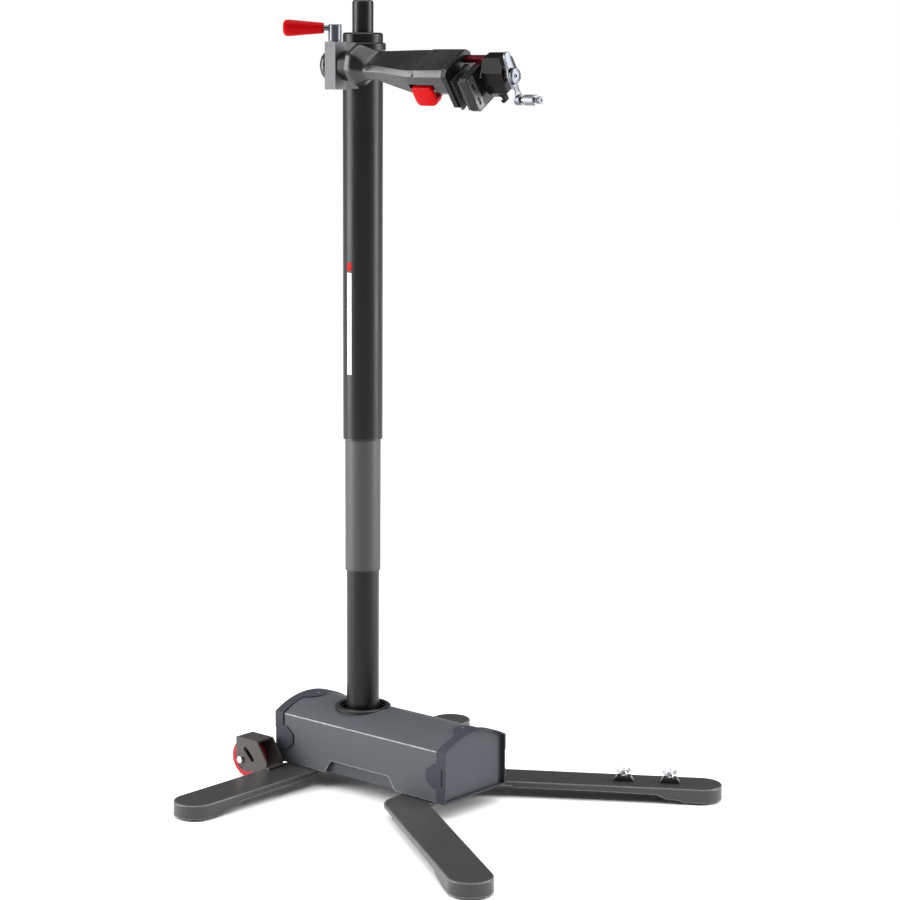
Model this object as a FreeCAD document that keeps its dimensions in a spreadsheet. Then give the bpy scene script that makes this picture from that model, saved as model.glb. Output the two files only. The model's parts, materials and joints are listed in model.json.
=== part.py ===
"""Bike repair stand: a telescoping mast on a box base with four legs, two wheels and a rotating clamp head.

Millimetres, +Z up. The origin is on the floor at the middle of the footprint. The box base runs along X and
the clamp arm points along +X. The arm and jaws are drawn upright in the head's own frame (x along the spindle,
y across, z up) and then rolled about the spindle to the rest pose.
"""
import FreeCAD, Part
import math
import os
import re
import Sketcher
from FreeCAD import Placement, Rotation, Vector

DIMENSIONS = (
    # alias, millimetres or degrees, meaning
    ("mast_x", -189.75, "mast axis from the middle of the footprint"),
    ("outer_r", 38.1, "outer mast tube, 3 inch"),
    ("outer_wall", 2.6, ""),
    ("outer_foot", 687, "lower end of the outer tube"),
    ("outer_head", 1439, "upper end of the outer tube"),
    ("mid_r", 34.5, "middle mast tube"),
    ("mid_wall", 1.8, ""),
    ("mid_foot", 429, "lower end of the middle tube"),
    ("mid_head", 869, "upper end of the middle tube"),
    ("lower_r", 31.75, "lower mast tube, 2.5 inch"),
    ("lower_wall", 3, ""),
    ("lower_head", 611, "upper end of the lower tube"),
    ("bush_depth", 60, "length of the guide bushes inside the tubes"),
    ("bush_gap", 0.06, "running clearance of the guide bushes"),
    ("bush_lip", 4, "visible lip of a guide bush below its tube"),
    ("collar_r", 43.5, "clamp collar near the top of the mast"),
    ("collar_foot", 1424, ""),
    ("cap_top", 1458, "top face of the mast cap"),
    ("post_r", 20, "plain post above the mast"),
    ("post_top", 1514.5, "top edge of the post's tube"),
    ("overall_top", 1519, "crown of the post's cap"),
    ("box_x0", -132, "left end of the housing, from the mast"),
    ("box_x1", 268.4, "right end of the housing, from the mast"),
    ("box_half", 86.5, "half the width of the housing"),
    ("box_foot", 32.3, "underside of the channel and housing"),
    ("box_kink", 130, "top of the straight sides"),
    ("box_crown", 153, "crown of the arched top"),
    ("box_wall", 3, "housing wall"),
    ("endcap_depth", 21.3, "length of an end cap"),
    ("endcap_lip", 3, "how far the caps stand outside the housing"),
    ("endcap_rim", 3.4, "width of the caps' rim"),
    ("endcap_recess", 12, "depth of the end plate inside the rim"),
    ("tab_reach", 26, "how far the cap tabs run on over the housing"),
    ("tab_r", 30, "rounded tab on top of each cap"),
    ("notch_top", 58, "top edge of the skirt's notch"),
    ("notch_x0", -5.6, ""),
    ("notch_x1", 145, ""),
    ("notch_run", 17, "length of the notch's sloped ends"),
    ("channel_half", 78, "half the width of the inner channel"),
    ("channel_top", 88, "top of the channel's flanges"),
    ("channel_wall", 5, ""),
    ("bezel_r", 55, "ring where the mast enters the housing"),
    ("bezel_hole", 44.5, ""),
    ("flange_r", 62, "mast foot flange"),
    ("flange_thick", 6, ""),
    ("leg_r", 41, "half the width of a leg"),
    ("leg_top", 30.7, "top face of the legs"),
    ("leg_skirt", 12, "depth of a leg's skirt"),
    ("leg_wall", 4.5, ""),
    ("root_thick", 8, "plate at a swinging leg's root"),
    ("tip_foot", 4, "lower edge of the shell at a leg's tip"),
    ("left_leg_x", -88, "fixed legs, from the mast"),
    ("left_root_y", 52, "inner end centre of a fixed leg"),
    ("left_tip_y", 368, "tip centre of a fixed leg"),
    ("pivot_x", 213, "swinging legs' pivots, from the mast"),
    ("pivot_y", 45, ""),
    ("elbow_x", 220, ""),
    ("elbow_y", 120, ""),
    ("tip_x", 567, "swinging legs' tip centres"),
    ("tip_y", 344, ""),
    ("skirt_start", 52, "start of the deep body after the elbow, along the leg"),
    ("pivot_r", 8, "pivot bolt"),
    ("pivot_gap", 0.08, "running clearance in the legs' pivots"),
    ("pad_r", 20, "foot pads"),
    ("wheel_x", -191, "wheel axle, from the mast"),
    ("wheel_y", 124, "middle of a wheel"),
    ("wheel_z", 38.3, ""),
    ("wheel_r", 37.5, ""),
    ("wheel_half", 12, "half the width of a wheel"),
    ("nose_r", 14.5, "round end of the wheel bracket's cheeks"),
    ("fork_right", -148, "inner end of the bracket's top web, from the mast"),
    ("fork_half", 23, "half the width of a wheel bracket"),
    ("fork_wall", 4, ""),
    ("fork_top", 82, ""),
    ("spindle_y", -69, "spindle axis, from the mast"),
    ("spindle_z", 1396, ""),
    ("spindle_r", 12, ""),
    ("head_roll", 34, "degrees about the spindle at rest"),
    ("block_x0", -6, "bracket block"),
    ("block_x1", 21, ""),
    ("block_front", -98, ""),
    ("block_back", -68, "plane where the block meets its saddle"),
    ("block_foot", 1352, ""),
    ("block_top", 1440, ""),
    ("cotter_y", -86, "clamp screw, from the mast"),
    ("cotter_r", 8, ""),
    ("lever_x", 9, ""),
    ("lever_heading", 217, "degrees: direction of the lever's grip at rest"),
    ("hub_r", 28, "round hub between the block and the arm"),
    ("arm_start", 52, "inner end of the arm"),
    ("arm_end", 291, "outer end of the arm"),
    ("arm_wall", 3, ""),
    ("seam_z", -10, "seam between the arm's two shells"),
    ("slide_x0", 130, "inner end of the slide bar"),
    ("slide_y0", 13, ""),
    ("slide_y1", 26, ""),
    ("slide_z0", -1.5, ""),
    ("slide_z1", 7, ""),
    ("slide_gap", 0.3, "clearance round the slide bar"),
    ("jaw_x0", 291, "fixed jaw"),
    ("jaw_x1", 301, ""),
    ("screw_y", -1, "lead screw axis"),
    ("screw_z", -19, ""),
    ("screw_r", 5, ""),
    ("guide_pin_y", 11, "guide pins of the pad holder"),
    ("holder_x0", 324, "pad holder of the moving jaw"),
    ("holder_x1", 340, ""),
    ("carriage_x0", 352, "moving jaw body"),
    ("carriage_x1", 400, ""),
    ("crank_x", 413, "crank arm"),
    ("crank_radius", 42, "lead screw to knob"),
    ("crank_hang", 28, "degrees: lean of the crank at rest, from the head's own upright"),
)

doc = FreeCAD.newDocument("bike_repair_stand")
sheet = doc.addObject("Spreadsheet::Sheet", "dim")
for row, (alias, value, meaning) in enumerate(DIMENSIONS, start=1):
    sheet.set("A%d" % row, meaning)
    sheet.set("B%d" % row, str(value))
    sheet.setAlias("B%d" % row, alias)
doc.recompute()

ALIASES = {alias for alias, value, meaning in DIMENSIONS}
WORD = re.compile(r"[a-z][a-z_0-9]*")
TURN = {"x": Rotation(Vector(0, 1, 0), 90), "y": Rotation(Vector(1, 0, 0), -90), "z": Rotation()}
subparts = []


def bound(size):
    """The sheet expression for a size that may be a number or a formula of aliases."""
    return WORD.sub(lambda word: "dim." + word[0] if word[0] in ALIASES else word[0], str(size))


def size_of(alias):
    return float(sheet.get(alias))


def value_of(formula):
    """A formula of aliases as a plain number."""
    return float(sheet.evalExpression(bound(formula)))


def bind(thing, **formulas):
    for key, formula in formulas.items():
        thing.setExpression(key, bound(formula))
    return thing


def move(thing, x=0, y=0, z=0):
    """Put an object's origin at a place worked out from the sheet."""
    for letter, formula in zip("xyz", (x, y, z)):
        thing.setExpression("Placement.Base." + letter, bound(formula))
    return thing


def keep(thing, label):
    """Count an object as a finished sub-part with its own label."""
    thing.Label = label
    subparts.append(thing)
    return thing


def on_head(thing, label):
    """Finish a sub-part drawn in the head's own frame: move it to the spindle and roll it."""
    if thing.ExpressionEngine:
        thing = group(label + "_placed", thing)
    thing.Placement = Placement(Vector(), Rotation(Vector(1, 0, 0), size_of("head_roll")))
    move(thing, "mast_x", "spindle_y", "spindle_z")
    return keep(thing, label)


# ---- building blocks ----------------------------------------------------------------------------------------

def block(name, x, y, z):
    """A box from three (low, high) pairs."""
    thing = doc.addObject("Part::Box", name)
    for key, (low, high) in zip(("Length", "Width", "Height"), (x, y, z)):
        thing.setExpression(key, "(%s) - (%s)" % (bound(high), bound(low)))
    return move(thing, x[0], y[0], z[0])


def rod(name, radius, length, start, along="z"):
    thing = doc.addObject("Part::Cylinder", name)
    bind(thing, Radius=radius, Height=length)
    thing.Placement = Placement(Vector(), TURN[along])
    return move(thing, *start)


def cut(name, base, *tools):
    """Take the tools away from the base one after another."""
    for number, tool in enumerate(tools):
        thing = doc.addObject("Part::Cut", name if tool is tools[-1] else "%s_%d" % (name, number))
        thing.Base = base
        thing.Tool = tool
        thing.Refine = True
        base = thing
    return base


def fuse(name, *shapes):
    thing = doc.addObject("Part::MultiFuse", name)
    thing.Shapes = list(shapes)
    thing.Refine = True
    return thing


def common(name, first, second):
    thing = doc.addObject("Part::Common", name)
    thing.Base = first
    thing.Tool = second
    thing.Refine = True
    return thing


def group(name, *shapes):
    """Separate solids of one kind kept in one sub-part."""
    thing = doc.addObject("Part::Compound", name)
    thing.Links = list(shapes)
    return thing


def new_body(name):
    return doc.addObject("PartDesign::Body", name)


def plane_sketch(body, name, role, lift=0):
    """An empty sketch on one of the body's origin planes, lifted along the plane's normal."""
    sketch = body.newObject("Sketcher::SketchObject", name)
    origin_plane = next(plane for plane in body.Origin.OriginFeatures if plane.Role == role)
    sketch.AttachmentSupport = [(origin_plane, "")]
    sketch.MapMode = "FlatFace"
    sketch.setExpression("AttachmentOffset.Base.z", bound(lift))
    return sketch


def fix_point(sketch, element, end, across, up):
    """Tie one point of a sketch to the sheet by its two distances from the sketch's origin."""
    for kind, formula in (("DistanceX", across), ("DistanceY", up)):
        number = sketch.addConstraint(Sketcher.Constraint(kind, -1, 1, element, end, value_of(formula)))
        sketch.setExpression("Constraints[%d]" % number, bound(formula))


def draw_polygon(sketch, corners):
    """A closed outline whose corners are (across, up) formulas."""
    places = [Vector(value_of(across), value_of(up), 0) for across, up in corners]
    first = sketch.GeometryCount
    for start, finish in zip(places, places[1:] + places[:1]):
        sketch.addGeometry(Part.LineSegment(start, finish))
    for number, corner in enumerate(corners):
        following = (number + 1) % len(corners)
        sketch.addConstraint(Sketcher.Constraint("Coincident", first + number, 2, first + following, 1))
        fix_point(sketch, first + number, 1, *corner)
    return sketch


def draw_circle(sketch, across, up, radius):
    place = Vector(value_of(across), value_of(up), 0)
    element = sketch.addGeometry(Part.Circle(place, Vector(0, 0, 1), value_of(radius)))
    fix_point(sketch, element, 3, across, up)
    number = sketch.addConstraint(Sketcher.Constraint("Radius", element, value_of(radius)))
    sketch.setExpression("Constraints[%d]" % number, bound(radius))
    return sketch


def pad(body, sketch, length, both_ways=False):
    feature = body.newObject("PartDesign::Pad", sketch.Name + "_pad")
    feature.Profile = sketch
    feature.SideType = "Symmetric" if both_ways else "One side"
    feature.setExpression("Length", bound(length))
    return feature


def slab(name, role, corners, start, depth, holes=()):
    """A plate: an outline with round holes, (across, up, radius) each, padded from start by depth."""
    body = new_body(name)
    sketch = draw_polygon(plane_sketch(body, name + "_outline", role, start), corners)
    for hole in holes:
        draw_circle(sketch, *hole)
    pad(body, sketch, depth)
    return body


def turned(name, profile, start=(0, 0, 0), along="z"):
    """A lathe-turned piece: (radius, height) corners revolved about the piece's own axis."""
    body = new_body(name)
    sketch = draw_polygon(plane_sketch(body, name + "_profile", "XZ_Plane"), profile)
    feature = body.newObject("PartDesign::Revolution", name + "_turn")
    feature.Profile = sketch
    feature.ReferenceAxis = (sketch, ["V_Axis"])
    feature.Angle = 360
    body.Placement = Placement(Vector(), TURN[along])
    return move(body, *start)


def ring(name, outer, inner, length, start, along="z"):
    """A plain tube or washer."""
    return turned(name, ((inner, 0), (outer, 0), (outer, length), (inner, length)), start, along)


def hexagon(name, across_flats, thick, start, along="z"):
    """A hexagonal nut blank or bolt head."""
    thing = doc.addObject("Part::Prism", name)
    thing.Polygon = 6
    bind(thing, Circumradius="(%s) / sqrt(3)" % across_flats, Height=thick)
    thing.Placement = Placement(Vector(), TURN[along])
    return move(thing, *start)


def round_edges(name, base, radius, chosen):
    """Round the edges of a shape that a test picks out."""
    doc.recompute()
    numbers = [n for n, edge in enumerate(base.Shape.Edges, start=1) if chosen(edge)]
    thing = doc.addObject("Part::Fillet", name)
    thing.Base = base
    thing.Edges = [(number, radius, radius) for number in numbers]
    return thing


def level(edge, height):
    """True for an edge that lies flat at one height."""
    return all(abs(vertex.Z - height) < 0.01 for vertex in edge.Vertexes) and edge.BoundBox.ZLength < 0.01


# ---- mast ---------------------------------------------------------------------------------------------------

def make_mast():
    axis = "mast_x"
    floor = "box_foot + channel_wall"
    keep(ring("lower_tube_body", "lower_r", "lower_r - lower_wall", "lower_head - (%s)" % floor,
              (axis, 0, floor)), "lower_tube")
    keep(ring("mid_tube_body", "mid_r", "mid_r - mid_wall", "mid_head - mid_foot",
              (axis, 0, "mid_foot")), "mid_tube")
    keep(ring("outer_tube_body", "outer_r", "outer_r - outer_wall", "outer_head - outer_foot",
              (axis, 0, "outer_foot")), "outer_tube")
    # Each guide bush lines the lower end of its tube and shows a lip below it.
    for label, tube, wall, inside, foot in (
            ("mid_guide_bush", "mid_r", "mid_wall", "lower_r", "mid_foot"),
            ("outer_guide_bush", "outer_r", "outer_wall", "mid_r", "outer_foot")):
        bore = inside + " + bush_gap"
        profile = ((bore, "-bush_lip"), (tube + " - 1.2", "-bush_lip"), (tube, "-bush_lip + 1.2"), (tube, 0),
                   ("%s - %s" % (tube, wall), 0), ("%s - %s" % (tube, wall), "bush_depth"),
                   (bore, "bush_depth"))
        keep(turned(label + "_body", profile, (axis, 0, foot)), label)
    collar = turned("mast_collar_body", (
        ("outer_r", 0), ("collar_r - 2", 0), ("collar_r", 2), ("collar_r", "outer_head - collar_foot - 2"),
        ("collar_r - 2", "outer_head - collar_foot"), ("outer_r", "outer_head - collar_foot")),
        (0, 0, "collar_foot"))
    saddle = block("collar_saddle", ("block_x0 + 1", "block_x1 - 1"), ("block_back", -25),
                   ("block_foot + 1", "block_top - 1"))
    tube = rod("collar_tube", "outer_r", 140, (0, 0, "block_foot - 10"))
    bore = rod("collar_spindle_bore", "spindle_r + 0.05", 60, ("block_x0 - 10", "spindle_y", "spindle_z"), "x")
    keep(move(cut("collar_bored", fuse("collar_blank", collar, saddle), tube, bore), "mast_x"), "mast_collar")
    # The cap closes the outer tube, holds the post and carries the gas spring's rod.
    keep(turned("mast_cap_body", (
        (0, -14), ("outer_r - outer_wall", -14), ("outer_r - outer_wall", 0), ("outer_r", 0),
        ("outer_r", "cap_top - outer_head - 3"), ("outer_r - 3", "cap_top - outer_head"),
        ("post_r - 0.5", "cap_top - outer_head"), ("post_r - 0.5", 4), (0, 4)), (axis, 0, "outer_head")),
        "mast_cap")
    # The post is turned down a little where it sits in the cap.
    keep(turned("top_post_body", (
        ("post_r - 2.5", 4), ("post_r - 0.5", 4), ("post_r - 0.5", "cap_top - outer_head + 0.5"),
        ("post_r", "cap_top - outer_head + 0.5"), ("post_r", "post_top - outer_head"),
        ("post_r - 2.5", "post_top - outer_head")), (axis, 0, "outer_head")), "top_post")
    keep(turned("top_post_cap_body", (
        (0, -10), ("post_r - 2.52", -10), ("post_r - 2.52", 0), ("post_r", 0), ("post_r - 0.6", 2),
        ("post_r - 3", "overall_top - post_top - 0.5"), ("post_r - 8", "overall_top - post_top"),
        (0, "overall_top - post_top")), (axis, 0, "post_top")), "top_post_cap")


def make_gas_spring():
    axis = "mast_x"
    foot = "box_foot + channel_wall"
    # A closed cylinder with a bored gland at the top; the rod ends in a piston and hangs from the mast cap.
    keep(turned("gas_cylinder_body", (
        (0, 0), (14, 0), (14, 555), (5.06, 555), (5.06, 540), (11, 540), (11, 8), (0, 8)), (axis, 0, foot)),
        "gas_spring_cylinder")
    keep(turned("gas_rod_body", (
        (0, 0), (10.94, 0), (10.94, 16), (5, 16), (5, "outer_head - 14 - 560"), (0, "outer_head - 14 - 560")),
        (axis, 0, 560)), "gas_spring_rod")


# ---- base ---------------------------------------------------------------------------------------------------

def arch_slab(name, outset, foot, start, depth):
    """The housing's section moved out by outset and padded: straight sides under one shallow arc."""
    body = new_body(name)
    sketch = plane_sketch(body, name + "_section", "YZ_Plane", start)
    half = "(box_half + %s)" % outset
    kink = "(box_kink + %s * 0.5)" % outset
    rise = "(box_crown + %s - (%s))" % (outset, kink)
    radius = "(%s * %s + %s * %s) / (2 * %s)" % (half, half, rise, rise, rise)
    corners = (("-" + half, kink), ("-" + half, foot), (half, foot), (half, kink))
    places = [Vector(value_of(across), value_of(up), 0) for across, up in corners]
    for number in range(3):
        sketch.addGeometry(Part.LineSegment(places[number], places[number + 1]))
    crown = Vector(0, value_of("box_crown + " + outset), 0)
    sketch.addGeometry(Part.Arc(places[3], crown, places[0]))
    for number in range(3):
        fix_point(sketch, number, 1, *corners[number])
    fix_point(sketch, 2, 2, *corners[3])
    for first, second in ((0, 1), (1, 2)):
        sketch.addConstraint(Sketcher.Constraint("Coincident", first, 2, second, 1))
    sketch.addConstraint(Sketcher.Constraint("Coincident", 3, 1, 2, 2))
    sketch.addConstraint(Sketcher.Constraint("Coincident", 3, 2, 0, 1))
    number = sketch.addConstraint(Sketcher.Constraint("Radius", 3, value_of(radius)))
    sketch.setExpression("Constraints[%d]" % number, bound(radius))
    pad(body, sketch, depth)
    return body


CAP_SCREW_PLACES = ("box_x0 + tab_reach - 14", "box_x1 - tab_reach + 14")


def make_housing():
    body = arch_slab("housing_body", "0", "box_foot", "box_x0", "box_x1 - box_x0")
    hollow = arch_slab("housing_hollow", "(-box_wall)", "box_foot - 1", "box_x0 - 1", "box_x1 - box_x0 + 2")
    notch = slab("housing_notch", "XZ_Plane", (
        ("notch_x0", "notch_top"), ("notch_x1", "notch_top"), ("notch_x1 + notch_run", "box_foot - 1"),
        ("notch_x0 - notch_run", "box_foot - 1")), "-box_half - 5", "2 * box_half + 10")
    hole = rod("housing_hole", "bezel_r - 4", 60, (0, 0, "box_kink - 10"))
    seat = rod("housing_bezel_seat", "bezel_r + 0.05", 20, (0, 0, "box_crown - 2.02"))
    screw_holes = [rod("housing_screw_hole_%d" % number, 2.05, 60, (place, 0, "box_kink"))
                   for number, place in enumerate(CAP_SCREW_PLACES)]
    shell = cut("housing_shell", body, hollow, notch, hole, seat, *screw_holes)
    keep(move(shell, "mast_x"), "base_housing")


FIXED_LEG_BOLT_STEPS = (-22, 10)


def make_channel():
    """The steel channel that carries the mast and the legs."""
    outside = block("channel_blank", ("box_x0 + 2", "box_x1 - 2"), ("-channel_half", "channel_half"),
                    ("box_foot", "channel_top"))
    inside = block("channel_inside", ("box_x0", "box_x1"),
                   ("-channel_half + channel_wall", "channel_half - channel_wall"),
                   ("box_foot + channel_wall", "channel_top + 1"))
    holes = []
    for number, side in enumerate(("", "-")):
        holes.append(rod("channel_pivot_hole_%d" % number, "pivot_r + 0.02", 20,
                         ("pivot_x", side + "pivot_y", "box_foot - 5")))
        for step in FIXED_LEG_BOLT_STEPS:
            holes.append(rod("channel_bolt_hole_%d_%d" % (number, step + 30), 5.05, 20,
                             ("left_leg_x", "%s(left_root_y + %d)" % (side, step), "box_foot - 5")))
    keep(move(cut("channel", outside, inside, *holes), "mast_x"), "base_channel")


def make_end_cap(label, end, outward):
    """One end cap: a rim round a recess, and a layer over the housing cut into two side tabs and a top tab.

    It is drawn for the right-hand end and turned about the mast's axis for the left one.
    """
    rim = arch_slab(label + "_blank", "endcap_lip", "box_foot", 0, "endcap_depth")
    recess = arch_slab(label + "_recess", "(endcap_lip - endcap_rim)", "box_foot + endcap_rim",
                       "endcap_depth - endcap_recess", "endcap_recess + 1")
    hollow = arch_slab(label + "_hollow", "(-box_wall)", "box_foot + endcap_rim", -1,
                       "endcap_depth - endcap_recess - 2")
    layer = arch_slab(label + "_layer", "endcap_lip", "box_foot", "-tab_reach", "tab_reach")
    inner = arch_slab(label + "_layer_inside", "0.02", "box_foot - 1", "-tab_reach - 1", "tab_reach + 1")
    sides = slab(label + "_side_tabs", "XZ_Plane", ((1, 60), (-9, 60), ("-tab_reach", 73), ("-tab_reach", 92),
                                                    (-9, 106), (1, 106)), "-120", 240)
    top = rod(label + "_top_tab", "tab_r", 70, ("tab_r - tab_reach", 0, 100))
    tabs = common(label + "_tabs", cut(label + "_skin", layer, inner), fuse(label + "_tab_shapes", sides, top))
    whole = fuse(label + "_whole", cut(label + "_rim", rim, recess, hollow), tabs)
    notches = []
    for number, span in enumerate((("-box_half - 6", "-box_half - 1.4"), ("box_half + 1.4", "box_half + 6"))):
        notches.append(block("%s_side_notch_%d" % (label, number), ("endcap_depth - 9", "endcap_depth + 1"),
                             span, (65, 100)))
    whole = cut(label + "_drilled", whole, *notches,
                rod(label + "_screw_hole", 2.2, 60, ("-tab_reach + 14", 0, 120)),
                rod(label + "_screw_seat", 4.8, 10, ("-tab_reach + 14", 0, "box_crown + endcap_lip - 0.62")))
    whole.Placement = Placement(Vector(), Rotation(Vector(0, 0, 1), outward))
    keep(move(whole, "mast_x + " + end), label)
    plate = arch_slab(label + "_plate_body", "(endcap_lip - endcap_rim - 0.1)", "box_foot + endcap_rim + 0.1",
                      "endcap_depth - endcap_recess", 2.5)
    plate.Placement = Placement(Vector(), Rotation(Vector(0, 0, 1), outward))
    return move(plate, "mast_x + " + end)


def make_cap_screws():
    screws = []
    for number, place in enumerate(CAP_SCREW_PLACES):
        crown = "box_crown + endcap_lip"
        screws.append(turned("cap_screw_%d" % number, (
            (0, -14), (2, -14), (2, -0.6), (4.5, -0.6), (4.5, 0.6), (3.2, 1.8), (0, 2.2)),
            ("mast_x + " + place, 0, crown)))
    keep(group("cap_screw_set", *screws), "cap_screws")


def make_mast_foot():
    keep(turned("mast_foot_body", (
        ("lower_r + 0.05", 0), ("flange_r", 0), ("flange_r", "flange_thick"), ("lower_r + 9", "flange_thick"),
        ("lower_r + 6", 40), ("lower_r + 0.05", 40)), ("mast_x", 0, "box_foot + channel_wall")),
        "mast_foot_flange")
    keep(turned("bezel_body", (
        ("bezel_hole - 2", -12), ("bezel_r - 4.5", -12), ("bezel_r - 4.5", -2), ("bezel_r", -2),
        ("bezel_r", 0.5),
        ("bezel_r - 3", 2.6), ("bezel_hole + 2", 2.6), ("bezel_hole", 1), ("bezel_hole", -3),
        ("bezel_hole - 2", -5)),
        ("mast_x", 0, "box_crown")), "mast_bezel")


# ---- legs, feet and their bolts ----------------------------------------------------------------------------

def band(name, start, finish, half, low, high):
    """A straight bar between two plan points, square-ended, half as wide as given each side."""
    ends = [[value_of(part) for part in point] for point in (start, finish)]
    heading = math.atan2(ends[1][1] - ends[0][1], ends[1][0] - ends[0][0])
    corners = []
    for point, sides in ((start, (1, -1)), (finish, (-1, 1))):
        for side in sides:
            corners.append(("%s - (%s) * %.6f" % (point[0], half, side * math.sin(heading)),
                            "%s + (%s) * %.6f" % (point[1], half, side * math.cos(heading))))
    return slab(name, "XY_Plane", corners, low, "(%s) - (%s)" % (high, low))


def toward(start, finish, run):
    """The plan point a run along the way from one plan point to another."""
    ends = [[value_of(part) for part in point] for point in (start, finish)]
    reach = math.hypot(ends[1][0] - ends[0][0], ends[1][1] - ends[0][1])
    return tuple("%s + (%s) * %.6f" % (start[n], run, (ends[1][n] - ends[0][n]) / reach) for n in (0, 1))


def leg_form(name, corner, tip, half, steps, high):
    """A leg's deep body: its round-ended plan, kept only above a stepped line that falls towards the tip.

    steps are the line's (distance before the tip's centre, height) corners, from the tip inwards.
    """
    reach = math.dist([value_of(part) for part in corner], [value_of(part) for part in tip])
    heading = math.atan2(value_of(tip[1]) - value_of(corner[1]), value_of(tip[0]) - value_of(corner[0]))
    bottom = steps[0][1]
    depth = "(%s) - (%s)" % (high, bottom)
    plan = fuse(name + "_plan", band(name + "_bar", corner, tip, half, bottom, high),
                rod(name + "_disc", half, depth, (tip[0], tip[1], bottom)))
    beyond = "%.4f + 60" % reach
    line = [(-60, high), (beyond, high), (beyond, bottom)]
    line += [("%.4f - (%s)" % (reach, back), height) for back, height in steps]
    line += [(-60, steps[-1][1])]
    side = slab(name + "_side", "XZ_Plane", line, -60, 120)
    side.Placement = Placement(Vector(), Rotation(Vector(0, 0, 1), math.degrees(heading)))
    return common(name, plan, move(side, corner[0], corner[1]))


def make_leg(label, root, corner, tip, root_low, holes):
    """A leg from its root to its tip. The deep body begins at corner; a flat root plate joins it inboard."""
    skirt = "leg_top - leg_skirt"
    outside = leg_form(label + "_outside", corner, tip, "leg_r",
                       ((30, "tip_foot"), (42, "tip_foot + 3.5"), (66, "tip_foot + 5.5"), (82, "leg_top - 14"),
                        (190, skirt)), "leg_top")
    inset = toward(corner, tip, "leg_wall")
    ceiling = "leg_top - leg_wall"
    inside = [band(label + "_inside_bar", inset, tip, "leg_r - leg_wall", -2, ceiling),
              rod(label + "_inside_disc", "leg_r - leg_wall", ceiling + " + 2", (tip[0], tip[1], -2))]
    plates = []
    for number, point in enumerate(root):
        plates.append(rod("%s_root_%d" % (label, number), "leg_r", "leg_top - (%s)" % root_low,
                          (point[0], point[1], root_low)))
    for number, (start, finish) in enumerate(zip(root, root[1:] + [corner])):
        plates.append(band("%s_web_%d" % (label, number), start, finish, "leg_r", root_low, "leg_top"))
    blank = fuse(label + "_blank", outside, *plates)
    top = size_of("leg_top")
    soft = round_edges(label + "_rounded", blank, 2.5, lambda edge: level(edge, top) and edge.Length > 3)
    bores = [rod("%s_hole_%d" % (label, number), hole[2], 40, (hole[0], hole[1], "leg_top - 20"))
             for number, hole in enumerate(holes)]
    return move(cut(label + "_body", soft, *inside, *bores), "mast_x")


def foot_pad(name, x, y):
    return turned(name, ((0, 0), ("pad_r - 1", 0), ("pad_r", 1), ("pad_r", 9), (9, 9),
                         (9, "leg_top - leg_wall"),
                         (0, "leg_top - leg_wall")), ("mast_x + " + x, y, 0))


def make_legs():
    for label, side in (("front", "-"), ("back", "")):
        root = [("left_leg_x", side + "left_root_y")]
        corner = ("left_leg_x", "%s(box_half + 6)" % side)
        tip = ("left_leg_x", side + "left_tip_y")
        holes = [("left_leg_x", "%s(left_root_y + %d)" % (side, step), 5.05) for step in FIXED_LEG_BOLT_STEPS]
        keep(make_leg(label + "_left_leg", root, corner, tip, "leg_top - root_thick", holes),
             label + "_left_leg")
        elbow = ("elbow_x", side + "elbow_y")
        tip = ("tip_x", side + "tip_y")
        root = [("pivot_x", side + "pivot_y"), elbow]
        holes = [("pivot_x", side + "pivot_y", "pivot_r + pivot_gap")]
        keep(make_leg(label + "_right_leg", root, toward(elbow, tip, "skirt_start"), tip,
                      "leg_top - root_thick",
                      holes), label + "_right_leg")
        keep(foot_pad(label + "_right_pad_body", "tip_x", side + "tip_y"), label + "_right_foot_pad")
    keep(group("left_pads", foot_pad("front_left_pad", "left_leg_x", "-left_tip_y"),
               foot_pad("back_left_pad", "left_leg_x", "left_tip_y")), "left_foot_pads")


def fixed_leg_bolt(name, y):
    """A bolt through a fixed leg and the channel's floor, with its nut inside the leg."""
    place = "mast_x + left_leg_x"
    return fuse(name, hexagon(name + "_head", 17, 6, (place, y, "box_foot + channel_wall")),
                rod(name + "_shank", 5, 24, (place, y, "box_foot + channel_wall - 20")),
                hexagon(name + "_nut", 17, 6, (place, y, "leg_top - root_thick - 6")))


def make_leg_fasteners():
    bolts, washers, pivots = [], [], []
    for number, side in enumerate(("-", "")):
        for step in FIXED_LEG_BOLT_STEPS:
            y = "%s(left_root_y + %d)" % (side, step)
            bolts.append(fixed_leg_bolt("leg_bolt_%d_%d" % (number, step + 22), y))
            washers.append(ring("leg_washer_%d_%d" % (number, step + 22), 12, 5.1, "box_foot - leg_top",
                                ("mast_x + left_leg_x", y, "leg_top")))
        place = ("mast_x + pivot_x", side + "pivot_y")
        washers.append(ring("pivot_washer_%d" % number, 30, "pivot_r + 0.1", "box_foot - leg_top - 0.05",
                            (place[0], place[1], "leg_top + 0.05")))
        pivot = turned("pivot_bolt_%d_turned" % number, (
            (0, -7.3), (11, -7.3), (13, -5.5), (13, -0.3), ("pivot_r", -0.3), ("pivot_r", 26), (0, 26)),
            (place[0], place[1], "leg_top - root_thick"))
        nut = hexagon("pivot_nut_%d" % number, 24, 8, (place[0], place[1], "box_foot + channel_wall"))
        pivots.append(fuse("pivot_bolt_%d" % number, pivot, nut))
    for number in range(4):
        angle = math.radians(45 + 90 * number)
        across = "mast_x + (flange_r - 9) * %.5f" % math.cos(angle)
        along = "(flange_r - 9) * %.5f" % math.sin(angle)
        bolts.append(hexagon("flange_bolt_%d" % number, 13, 5.5,
                             (across, along, "box_foot + channel_wall + flange_thick")))
    keep(group("base_bolt_set", *bolts), "base_bolts")
    keep(group("washer_set", *washers), "leg_washers")
    keep(group("pivot_set", *pivots), "pivot_bolts")


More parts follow.
